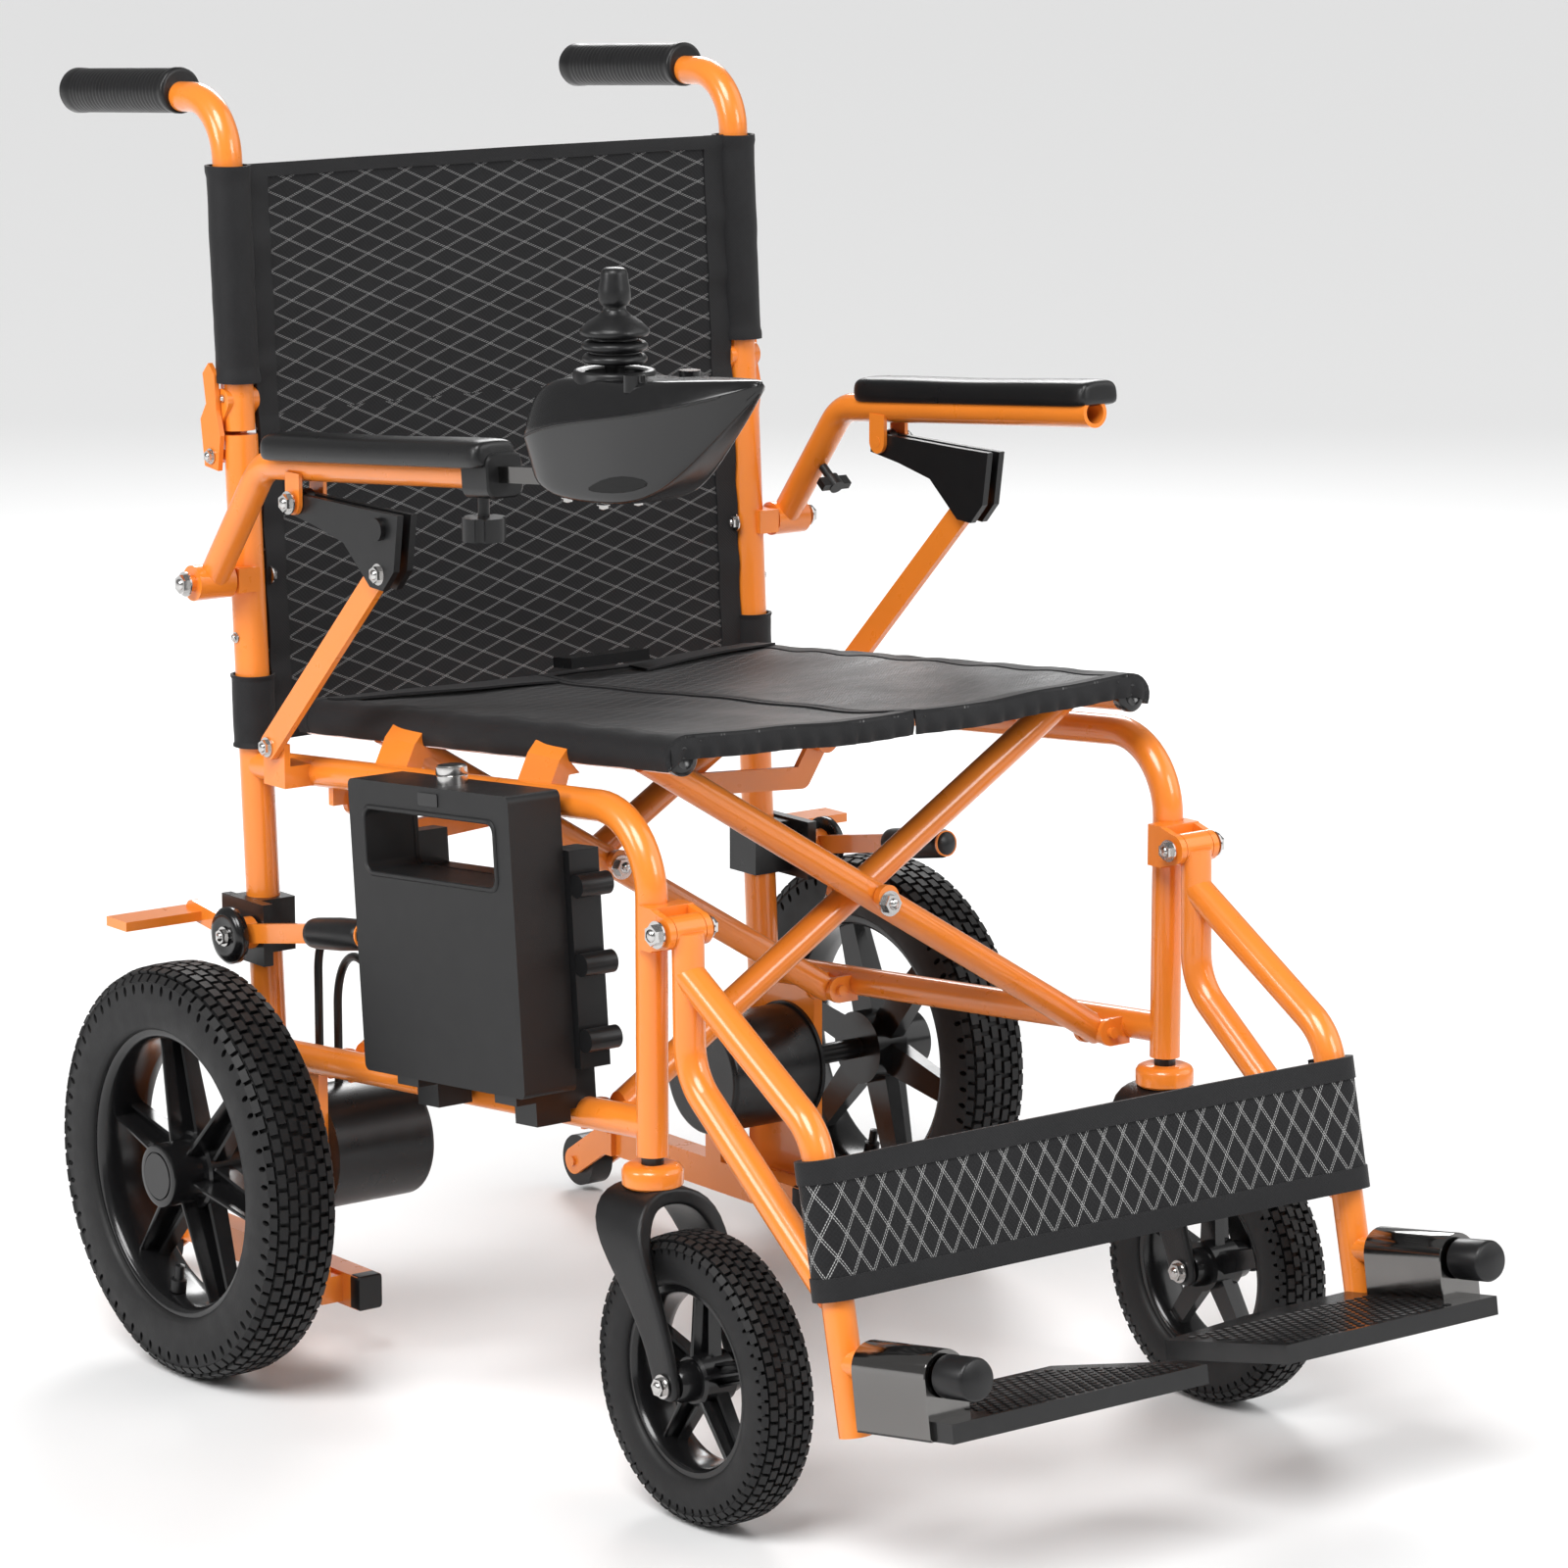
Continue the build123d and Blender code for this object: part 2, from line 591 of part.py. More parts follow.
def footplate(tread):
    """Sleeve round the shaft and a flat plate under it, hinged along the shaft.

    tread is the plate's outline: distance inwards from the shaft, distance behind the front edge.
    """
    front = Vector(-leg_x, shaft_y, shaft_z) - shaft_axis * sleeve_front
    down = Vector(0, -sin(radians(shaft_tilt)), -cos(radians(shaft_tilt)))
    plane = Plane(origin=front, x_dir=(1, 0, 0), z_dir=shaft_axis * -1)
    sign = 1 if plane.y_dir.dot(down) > 0 else -1
    drop = plate_drop + plate_t
    cover = Circle(sleeve_r) + Pos(0, sign * drop / 2) * Rectangle(2 * sleeve_r, drop)
    hollow = Circle(shaft_r + running) + Pos(0, sign * (drop / 2 + 8)) * Rectangle(2 * sleeve_r - 10, drop - 8)
    body = extrude(plane * (cover - hollow), sleeve_len)
    top = Vector(-leg_x, shaft_y, shaft_z) - shaft_axis * plate_front + down * plate_drop
    board = Plane(origin=top, x_dir=(1, 0, 0), z_dir=down)
    back = -1 if board.y_dir.dot(shaft_axis) > 0 else 1
    outline = make_face(Polyline(*[(px, back * py) for px, py in tread], close=True))
    return body + extrude(board * outline, plate_t)


def tip_wheel():
    return ring_x(-bar_x - tip_wheel_w / 2, -bar_x + tip_wheel_w / 2, tip_wheel_y, tip_wheel_z,
                  tip_wheel_r, 4 + running)


brake_z = 318.0


def brake_clamp():
    """Clamp round the rear post with a cheek that carries the brake lever."""
    x = -frame_x
    y = post_at(brake_z)
    body = block((x - 18, x + 16), (y - 17, y + 17), (brake_z - 20, brake_z + 20))
    body -= rod((x, post_at(250), 250), (x, post_at(400), 400), post_r)
    body += block((x - 26, x - 18), (y - 40, y + 17), (brake_z - 24, brake_z + 22))
    return body + rod_x(x - 44, x - 18, y - 26, brake_z, 5)


def brake_lever():
    """Orange lever with a black grip in front and a shoe over the tyre."""
    x = -frame_x - 35
    y = post_at(brake_z) - 26
    body = rod_x(x - 7, x + 7, y, brake_z, 12)
    body += slot_plate((y, brake_z), (y - 112, brake_z + 20), 14, x - 3, x + 3)
    body += rod((x, y - 100, brake_z + 18), (x, y - 165, brake_z + 28), 10)
    body += slot_plate((y, brake_z), (y + 62, brake_z + 8), 14, x - 6, x)
    body += block((-rear_x - 16, x), (y + 48, y + 76), (brake_z + 2, brake_z + 9))
    return body - rod_x(x - 30, x + 30, y, brake_z, 5 + running)


battery_turn = Pos(0, battery_y, battery_z) * Rot(-rake, 0, 0)


def battery_pack():
    """Slab battery with a hand window through its upper part."""
    lo, hi = -battery_x[1], -battery_x[0]
    body = Pos((lo + hi) / 2, 0, 0) * Box(hi - lo, battery_l, battery_h)
    body = fillet(body.edges().filter_by(Axis.X), 5)
    window = Pos((lo + hi) / 2, 0, window_up) * Box(80, window_l, window_h)
    window = fillet(window.edges().filter_by(Axis.X), 6)
    body -= window
    body += Pos(lo + 22, 0, battery_h / 2 - 1) * Cylinder(6, 2)
    return battery_turn * body


def battery_knob():
    """Lock knob on top of the battery."""
    lo = -battery_x[1] + 22
    body = Pos(lo, 0, battery_h / 2 + 7.3) * Cylinder(11, 14)
    return battery_turn * body


def battery_tray():
    """Frame plate behind the battery with two hooks over the lower rail and three clips."""
    lo, hi = -tray_x[1], -tray_x[0]
    body = Pos((lo + hi) / 2, -4, -13) * Box(hi - lo, battery_l + 4, 150)
    window = Pos((lo + hi) / 2, 0, window_up) * Box(80, window_l, window_h + 4)
    body -= window
    for y in (48.0, -72.0):
        body += Pos((-battery_x[1] + hi) / 2 - 2, y, -battery_h / 2 - 3.2) * Box(
            battery_x[1] - tray_x[0] - 8, 26, 6)
        body += Pos(-258, y, -battery_h / 2 - 14) * Box(28, 26, 18)
        body += Pos((lo + hi) / 2, y, -101) * Box(hi - lo, 26, 34)
    for z in (38.0, -16.0, -68.0):
        clip = Pos((lo + hi) / 2 + 1, -battery_l / 2 - 12, z) * Rot(0, 90, 0) * Cylinder(8, 26)
        body += clip
        body += Pos((lo + hi) / 2 + 3, -battery_l / 2 - 4, z) * Box(14, 14, 9)
    body = battery_turn * body
    rail = rod((-frame_x, -220, rail_at(lower_rail_z, -220)), (-frame_x, 300, rail_at(lower_rail_z, 300)),
               tube_r + 0.02)
    upper = rod((-frame_x, -200, rail_at(upper_rail_z, -200)), (-frame_x, 300, rail_at(upper_rail_z, 300)),
                tube_r + 0.02)
    return body - rail - upper


def controller_bar():
    """Square bar that slides into the armrest tube and carries the controller."""
    x = -arm_x
    middle = arm_front_y + 60 - bar_len / 2
    bar = Pos(x, middle, rail_at(arm_z, middle)) * Rot(-rake, 0, 0) * Box(11, bar_len, 11)
    return bar


def controller_shell():
    """Boat-shaped joystick box: a side profile cut to a tapering plan."""
    x = -control_x
    side = [(stick_y + 66, 704), (stick_y + 60, 752), (stick_y + 30, 776), (stick_y - 40, 778),
            (stick_y - 158, 790), (stick_y - 150, 776), (stick_y - 95, 722), (stick_y - 50, 697),
            (stick_y + 30, 692)]
    body = side_plate(side, x - 50, x + 50)
    half = control_w / 2
    plan = [(x - half + 8, stick_y + 66), (x + half - 8, stick_y + 66), (x + half, stick_y + 30),
            (x + half, stick_y - 30), (x + half - 12, stick_y - 95), (x + 6, stick_y - 158),
            (x - 6, stick_y - 158), (x - half + 12, stick_y - 95), (x - half, stick_y - 30),
            (x - half, stick_y + 30)]
    outline = extrude(Pos(0, 0, 600) * make_face(Polyline(*plan, close=True)), 300)
    body = body & outline
    body += Pos(x, stick_y, 778) * Cylinder(26, 7)
    socket = Pos(x, stick_y, 776) * Cylinder(17, 44)
    body -= socket
    for px, py in ((x + 22, stick_y - 52), (x - 22, stick_y - 52)):
        body -= Pos(px, py, 780) * Cylinder(7.3, 20)
    bar = Pos(-arm_x, stick_y + 60, rail_at(arm_z, stick_y + 60)) * Rot(-rake, 0, 0) * Box(11.1, 60, 11.1)
    return body - bar


def joystick_gimbal():
    """Ring inside the box that turns about X and carries the stick."""
    x = -control_x
    ring = Pos(x, stick_y, 763) * (Cylinder(15, 8) - Cylinder(10.5, 10))
    pins = rod_x(x - 16.6, x - 14, stick_y, 763, 2) + rod_x(x + 14, x + 16.6, stick_y, 763, 2)
    return ring + pins


def joystick():
    """Stick with bellows, collar and knob."""
    base = (-control_x, stick_y, 0)
    body = None
    rings = [(757, 772, 7.0), (772, 790, 5.0), (790, 796.5, 21.0), (796.5, 800, 8.0), (800, 808, 23.0),
             (808, 816, 15.0), (816, 822, 8.0), (822, 847, 10.5)]
    for low, high, radius in rings:
        piece = Pos(base[0], base[1], (low + high) / 2) * Cylinder(radius, high - low)
        body = piece if body is None else body + piece
    return body + rod((base[0], base[1] - 10, 763), (base[0], base[1] + 10, 763), 2)


def button(px, top):
    """Round push button in its hole."""
    return Pos(-control_x + px, stick_y - 52, top - 4) * Cylinder(7, 11)


def clamp_knob():
    """Four-lobed hand screw under the armrest's front end."""
    y = arm_front_y + 22
    z = rail_at(arm_z, y) - tube_r
    body = Pos(-arm_x, y, z - 14) * Cylinder(4, 27)
    knob = Pos(-arm_x, y, z - 27) * Cylinder(15, 16)
    for i in range(4):
        knob -= Pos(-arm_x, y, z - 27) * Rot(0, 0, 45 + 90 * i) * Pos(17, 0, 0) * Cylinder(4.5, 20)
    return body + knob


def wing_screw():
    """Hand screw in the left armrest's lower leg, at right angles to the tube."""
    foot, away = Vector(arm_x, wing_y, wing_z), wing_axis
    body = rod(tuple(foot + away * (tube_r + 0.3)), tuple(foot + away * 24), 3.5)
    head = Plane(origin=foot + away * 29, x_dir=(1, 0, 0), z_dir=away)
    return body + head * (Cylinder(6, 10) + Box(26, 6, 9))


def seat_half(side):
    """Half of the seat sling, over one seat rail."""
    outer = seat_rail_x + tube_r + 2.5
    y0, y1 = seat_rail_front - 2, seat_rail_rear - 2
    middle = (y0 + y1) / 2
    z = rail_at(seat_rail_z, middle) + tube_r + 0.6 + seat_t / 2
    half = Pos(side * (outer + 0.6) / 2, middle, z) * Rot(-rake, 0, 0) * Box(outer - 0.6, y1 - y0, seat_t)
    return half


def back_panel(z0, z1, inset):
    """Flat panel between the two posts, in front of their centres."""
    middle = (z0 + z1) / 2
    x = frame_x - post_r - inset
    return Pos(0, post_at(middle) - 2, middle) * Rot(-recline, 0, 0) * Box(2 * x, panel_t, z1 - z0)


def calf_strap():
    """Band between the two hangers' lower tubes."""
    lean = degrees(atan2(leg_knee_y - leg_foot_y, leg_knee_z - leg_foot_z))
    z = 228.0
    y = leg_knee_y + (leg_knee_z - z) * (leg_foot_y - leg_knee_y) / (leg_knee_z - leg_foot_z)
    return Pos(0, y, z) * Rot(-lean, 0, 0) * Box(2 * (leg_x - tube_r - 0.6), panel_t, strap_h)


def lap_buckle():
    """Buckle of the lap belt, lying on the rear of the seat."""
    y = 245.0
    z = rail_at(seat_rail_z, y) + tube_r + seat_t + 5.2
    return Pos(40, y, z) * Rot(-rake, 0, 0) * Box(72, 24, 8)


def drive_cables():
    """Two leads from the right motor to the battery tray."""
    body = None
    for x, y, high, end in cable_runs:
        start = (x, y, wheel_z + motor_r + 0.3)
        cable = tube([start, (x, y, high), end], cable_r, 45)
        body = cable if body is None else body + cable
    return body


def build():
    """Every node by name, in the design datum."""
    right_frame = side_frame(a_tubes, a_link_y)
    left_frame = left_of(side_frame(b_tubes, b_link_y))
    nodes = {"side_frame_right": right_frame, "side_frame_left": left_frame}
    pairs = {
        "motor": motor(),
        "rear_rim": rear_rim(),
        "rear_tyre": tyre(-rear_x, rear_y, wheel_z, rear_r, rear_rim_r, rear_w),
        "caster_fork": caster_fork(),
        "caster_rim": caster_rim(),
        "caster_tyre": tyre(-frame_x, caster_y, caster_r, caster_r, caster_rim_r, caster_w),
        "back_post": back_post(),
        "push_grip": push_grip(),
        "back_lever": back_lever(),
        "armrest_tube": armrest_tube() + latch_lug(),
        "armrest_pad": armrest_pad(),
        "arm_latch": arm_latch() + latch_button(),
        "arm_link": arm_link(),
        "leg_hanger": leg_hanger(),
        "tip_wheel": tip_wheel(),
        "brake_clamp": brake_clamp(),
        "brake_lever": brake_lever(),
    }
    for name, shape in pairs.items():
        nodes[name + "_right"] = shape
        nodes[name + "_left"] = left_of(shape)
    for side in ("_right", "_left"):
        nodes["push_grip" + side] = nodes["push_grip" + side] - nodes["back_post" + side]
    nodes["footplate_right"] = footplate(tread_right)
    nodes["footplate_left"] = left_of(footplate(tread_left))
    nodes["fold_link_right"] = fold_link(b_link_y_of_right)
    nodes["fold_link_left"] = left_of(fold_link(a_link_y_of_left))
    nodes["brace_a"] = brace(a_tubes, -1) + brace_bolts()
    nodes["brace_b"] = brace(b_tubes, 1)
    nodes["seat_right"] = seat_half(-1)
    nodes["seat_left"] = seat_half(1)
    nodes["back_panel_upper"] = back_panel(post_top + 14, back_top - 24, 1.5)
    nodes["back_panel_lower"] = back_panel(500, post_top - 4, 0.4)
    nodes["calf_strap"] = calf_strap()
    nodes["lap_buckle"] = lap_buckle()
    nodes["battery_pack"] = battery_pack()
    nodes["drive_cables"] = drive_cables()
    nodes["battery_knob"] = battery_knob()
    nodes["battery_tray"] = battery_tray()
    nodes["controller_bar"] = controller_bar()
    nodes["controller_shell"] = controller_shell()
    nodes["joystick_gimbal"] = joystick_gimbal()
    nodes["joystick"] = joystick()
    nodes["power_button"] = button(22, 782)
    nodes["horn_button"] = button(-22, 782)
    nodes["clamp_knob"] = clamp_knob()
    nodes["wing_screw"] = wing_screw()
    return nodes


def main():
    os.makedirs("parts", exist_ok=True)
    for name, shape in build().items():
        export_step(Pos(0, -origin_y, 0) * shape, "parts/" + name + ".step")
    print("nodes written")


if __name__ == "__main__":
    main()
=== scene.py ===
import math
import bmesh
import bpy
from mathutils import Matrix, Vector, noise


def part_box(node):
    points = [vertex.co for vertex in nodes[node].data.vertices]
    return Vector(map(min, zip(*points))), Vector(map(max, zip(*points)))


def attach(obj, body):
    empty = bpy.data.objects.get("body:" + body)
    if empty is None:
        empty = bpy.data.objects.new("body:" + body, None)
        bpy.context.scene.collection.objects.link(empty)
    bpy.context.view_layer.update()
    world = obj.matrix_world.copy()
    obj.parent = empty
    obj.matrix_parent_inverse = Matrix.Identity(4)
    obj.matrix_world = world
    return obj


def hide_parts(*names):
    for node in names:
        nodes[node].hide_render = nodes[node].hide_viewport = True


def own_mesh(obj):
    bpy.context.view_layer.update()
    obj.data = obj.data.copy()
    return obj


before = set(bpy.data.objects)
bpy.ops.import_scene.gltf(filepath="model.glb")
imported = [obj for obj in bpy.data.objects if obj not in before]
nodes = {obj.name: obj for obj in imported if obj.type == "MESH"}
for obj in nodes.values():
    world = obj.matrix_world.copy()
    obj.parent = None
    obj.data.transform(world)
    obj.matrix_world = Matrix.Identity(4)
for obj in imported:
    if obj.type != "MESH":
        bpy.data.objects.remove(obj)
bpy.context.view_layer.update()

scene = bpy.context.scene

chair = {
    "datumY": -7.5,        # mm, from the drawing's datum to this frame
    "rake": math.radians(5.0),
    "recline": math.radians(3.3),
    "postY": 280.0,
    "frameX": 229.0,
    "foldKeep": 0.4,       # width left in a cloth when the chair is folded
}
sides = (("right", -1), ("left", 1))
railBrace = {"right": "brace_b", "left": "brace_a"}  # the brace that carries the seat rail of each side


def at(x, y, z):
    return Vector((x, y + chair["datumY"], z)) / 1000


def railZ(zero, y):
    return zero - y * math.tan(chair["rake"])


def postY(z):
    return chair["postY"] + z * math.tan(chair["recline"])


railDir = Vector((0, -math.cos(chair["rake"]), math.sin(chair["rake"])))
railUp = Vector((0, math.sin(chair["rake"]), math.cos(chair["rake"])))


def lerp(a, b, t):
    return a + (b - a) * t


def smooth01(t):
    t = min(1.0, max(0.0, t))
    return t * t * (3 - 2 * t)


def newGroup(name, inputs, outputs):
    group = bpy.data.node_groups.new(name, "ShaderNodeTree")
    for label, kind, value in inputs:
        socket = group.interface.new_socket(label, in_out="INPUT", socket_type=kind)
        if value is not None:
            socket.default_value = value
    for label, kind in outputs:
        group.interface.new_socket(label, in_out="OUTPUT", socket_type=kind)
    return group, group.nodes.new("NodeGroupInput"), group.nodes.new("NodeGroupOutput")


class Wire:
    def __init__(self, tree):
        self.tree = tree

    def add(self, kind, sets=None, **links):
        node = self.tree.nodes.new(kind)
        for key, value in (sets or {}).items():
            if key in node.inputs:
                node.inputs[key].default_value = value
            else:
                setattr(node, key, value)
        for key, source in links.items():
            name = key.replace("_", " ")
            self.tree.links.new(source, node.inputs[name])
        return node

    def math(self, op, a, b=None, c=None, clamp=False):
        node = self.tree.nodes.new("ShaderNodeMath")
        node.operation = op
        node.use_clamp = clamp
        for slot, value in enumerate((a, b, c)):
            if value is None:
                continue
            if isinstance(value, (int, float)):
                node.inputs[slot].default_value = value
            else:
                self.tree.links.new(value, node.inputs[slot])
        return node.outputs[0]

    def link(self, a, b):
        self.tree.links.new(a, b)



def buildGrain():  # soft mottling, fine tooth and roughness drift for every moulded or painted face
    group, start, end = newGroup("surfaceGrain", [
        ("Tooth Scale", "NodeSocketFloat", 900.0), ("Roughness", "NodeSocketFloat", 0.4),
        ("Roughness Drift", "NodeSocketFloat", 0.1), ("Shade Drift", "NodeSocketFloat", 0.1)],
        [("Shade", "NodeSocketFloat"), ("Roughness", "NodeSocketFloat"), ("Height", "NodeSocketFloat")])
    wire = Wire(group)
    place = wire.add("ShaderNodeTexCoord").outputs["Object"]
    broad = wire.add("ShaderNodeTexNoise", {"Scale": 14.0, "Detail": 3.0}, Vector=place).outputs["Fac"]
    smear = wire.add("ShaderNodeTexNoise", {"Scale": 70.0, "Detail": 4.0}, Vector=place).outputs["Fac"]
    tooth = wire.add("ShaderNodeTexNoise", {"Detail": 2.0}, Vector=place)
    wire.link(start.outputs["Tooth Scale"], tooth.inputs["Scale"])
    drift = wire.math("SUBTRACT", broad, 0.5)
    wire.link(wire.math("MULTIPLY_ADD", drift, start.outputs["Shade Drift"], 1.0), end.inputs["Shade"])
    rough = wire.math("MULTIPLY_ADD", wire.math("SUBTRACT", smear, 0.5), start.outputs["Roughness Drift"],
                      start.outputs["Roughness"], clamp=True)
    wire.link(rough, end.inputs["Roughness"])
    wire.link(tooth.outputs["Fac"], end.inputs["Height"])
    return group


def buildDust():  # pale dust that settles on faces that look upwards
    group, start, end = newGroup("settledDust", [("Amount", "NodeSocketFloat", 0.1)],
                                 [("Mask", "NodeSocketFloat")])
    wire = Wire(group)
    facing = wire.add("ShaderNodeSeparateXYZ", Vector=wire.add("ShaderNodeNewGeometry").outputs["Normal"])
    place = wire.add("ShaderNodeTexCoord").outputs["Object"]
    speck = wire.add("ShaderNodeTexNoise", {"Scale": 240.0, "Detail": 5.0}, Vector=place).outputs["Fac"]
    up = wire.math("MULTIPLY_ADD", facing.outputs["Z"], 0.6, 0.1, clamp=True)
    mask = wire.math("MULTIPLY", wire.math("MULTIPLY", up, speck), start.outputs["Amount"], clamp=True)
    wire.link(mask, end.inputs["Mask"])
    return group


def buildDiamonds():  # crossing double threads, drawn on the piece's own UV in metres
    group, start, end = newGroup("diamondThread", [
        ("Vector", "NodeSocketVector", None), ("Width", "NodeSocketFloat", 0.036),
        ("Height", "NodeSocketFloat", 0.014), ("Gap", "NodeSocketFloat", 0.035),
        ("Thread", "NodeSocketFloat", 0.018), ("Dashes", "NodeSocketFloat", 9.0)],
        [("Mask", "NodeSocketFloat"), ("Height", "NodeSocketFloat")])
    wire = Wire(group)
    uv = wire.add("ShaderNodeSeparateXYZ", Vector=start.outputs["Vector"])
    wobble = wire.add("ShaderNodeTexNoise", {"Scale": 9.0, "Detail": 2.0}, Vector=start.outputs["Vector"])
    bend = wire.math("MULTIPLY", wire.math("SUBTRACT", wobble.outputs["Fac"], 0.5), 0.22)
    u = wire.math("DIVIDE", uv.outputs["X"], start.outputs["Width"])
    v = wire.math("DIVIDE", uv.outputs["Y"], start.outputs["Height"])
    families = []
    for sign in (1.0, -1.0):
        own = wire.math("ADD", wire.math("MULTIPLY_ADD", v, sign, u), bend)
        other = wire.math("MULTIPLY_ADD", v, -sign, u)
        away = wire.math("ABSOLUTE", wire.math("SUBTRACT", wire.math("FRACT", own), 0.5))
        double = wire.math("ABSOLUTE", wire.math("SUBTRACT", away, start.outputs["Gap"]))
        line = wire.math("SUBTRACT", 1.0, wire.math("DIVIDE", double, start.outputs["Thread"]), clamp=True)
        beat = wire.math("SINE", wire.math("MULTIPLY", wire.math("MULTIPLY", other, start.outputs["Dashes"]),
                                           2 * math.pi))
        dash = wire.math("MULTIPLY_ADD", beat, 0.42, 0.62, clamp=True)
        families.append(wire.math("MULTIPLY", line, dash))
    mask = wire.math("MAXIMUM", families[0], families[1], clamp=True)
    wire.link(mask, end.inputs["Mask"])
    wire.link(mask, end.inputs["Height"])
    return group


def buildWeave():  # over and under yarns on the piece's UV
    group, start, end = newGroup("plainWeave", [
        ("Vector", "NodeSocketVector", None), ("Yarns", "NodeSocketFloat", 900.0)],
        [("Height", "NodeSocketFloat"), ("Shade", "NodeSocketFloat")])
    wire = Wire(group)
    uv = wire.add("ShaderNodeSeparateXYZ", Vector=start.outputs["Vector"])
    turns = wire.math("MULTIPLY", start.outputs["Yarns"], math.pi)
    su = wire.math("SINE", wire.math("MULTIPLY", uv.outputs["X"], turns))
    sv = wire.math("SINE", wire.math("MULTIPLY", uv.outputs["Y"], turns))
    knit = wire.math("MULTIPLY_ADD", wire.math("MULTIPLY", su, sv), 0.5, 0.5)
    fuzz = wire.add("ShaderNodeTexNoise", {"Scale": 320.0, "Detail": 4.0}, Vector=start.outputs["Vector"])
    wire.link(wire.math("MULTIPLY_ADD", fuzz.outputs["Fac"], 0.35, knit), end.inputs["Height"])
    wire.link(wire.math("MULTIPLY_ADD", knit, 0.5, wire.math("MULTIPLY", fuzz.outputs["Fac"], 0.6)),
              end.inputs["Shade"])
    return group


grain, dust, diamonds, weave = buildGrain(), buildDust(), buildDiamonds(), buildWeave()


def useGroup(wire, group, values):
    node = wire.tree.nodes.new("ShaderNodeGroup")
    node.node_tree = group
    for key, value in values.items():
        if isinstance(value, (int, float)):
            node.inputs[key].default_value = value
        else:
            wire.link(value, node.inputs[key])
    return node


def newMaterial(name, fixed):
    material = bpy.data.materials.new(name)
    material.use_nodes = True
    shader = material.node_tree.nodes["Principled BSDF"]
    for socket, value in fixed.items():
        shader.inputs[socket].default_value = value
    return material, Wire(material.node_tree), shader


def hardFinish(name, look):  # paint, plastic, rubber and metal share one build with their own numbers
    material, wire, shader = newMaterial(name, look.get("fixed", {}))
    worn = useGroup(wire, grain, {"Tooth Scale": look["tooth"], "Roughness": look["rough"],
                                  "Roughness Drift": look["drift"], "Shade Drift": look.get("shade", 0.12)})
    film = useGroup(wire, dust, {"Amount": look.get("dust", 0.05)})
    tint = wire.add("ShaderNodeMix", {"data_type": "RGBA", "blend_type": "MULTIPLY"})
    tint.inputs[0].default_value = 1.0
    tint.inputs[6].default_value = (*look["color"], 1)
    wire.link(worn.outputs["Shade"], tint.inputs[7])
    dusty = wire.add("ShaderNodeMix", {"data_type": "RGBA"})
    wire.link(film.outputs["Mask"], dusty.inputs[0])
    wire.link(tint.outputs[2], dusty.inputs[6])
    dusty.inputs[7].default_value = (0.42, 0.4, 0.37, 1)
    wire.link(dusty.outputs[2], shader.inputs["Base Color"])
    wire.link(worn.outputs["Roughness"], shader.inputs["Roughness"])
    bump = wire.add("ShaderNodeBump", {"Strength": look["bump"], "Distance": look.get("depth", 0.0004)},
                    Height=worn.outputs["Height"])
    wire.link(bump.outputs["Normal"], shader.inputs["Normal"])
    return material


def clothFinish(name, look):
    material, wire, shader = newMaterial(name, look.get("fixed", {}))
    uv = wire.add("ShaderNodeUVMap", {"uv_map": "cloth"}).outputs["UV"]
    yarn = useGroup(wire, weave, {"Vector": uv, "Yarns": look["yarns"]})
    base = wire.add("ShaderNodeMix", {"data_type": "RGBA"})
    wire.link(yarn.outputs["Shade"], base.inputs[0])
    base.inputs[6].default_value = (*look["dark"], 1)
    base.inputs[7].default_value = (*look["light"], 1)
    color, height = base.outputs[2], wire.math("MULTIPLY", yarn.outputs["Height"], 0.35)
    if "diamond" in look:
        width, tall, gap, thread = look["diamond"]
        lines = useGroup(wire, diamonds, {"Vector": uv, "Width": width, "Height": tall, "Gap": gap,
                                          "Thread": thread, "Dashes": look["dashes"]})
        picked = wire.add("ShaderNodeMix", {"data_type": "RGBA"})
        wire.link(lines.outputs["Mask"], picked.inputs[0])
        wire.link(color, picked.inputs[6])
        picked.inputs[7].default_value = (*look["thread"], 1)
        color = picked.outputs[2]
        height = wire.math("MULTIPLY_ADD", lines.outputs["Height"], 1.4, height)
    wire.link(color, shader.inputs["Base Color"])
    place = wire.add("ShaderNodeTexCoord").outputs["Object"]
    patch = wire.add("ShaderNodeTexNoise", {"Scale": 30.0, "Detail": 3.0}, Vector=place).outputs["Fac"]
    wire.link(wire.math("MULTIPLY_ADD", patch, look["spread"], look["rough"], clamp=True),
              shader.inputs["Roughness"])
    bump = wire.add("ShaderNodeBump", {"Strength": look["bump"], "Distance": 0.0006}, Height=height)
    wire.link(bump.outputs["Normal"], shader.inputs["Normal"])
    return material


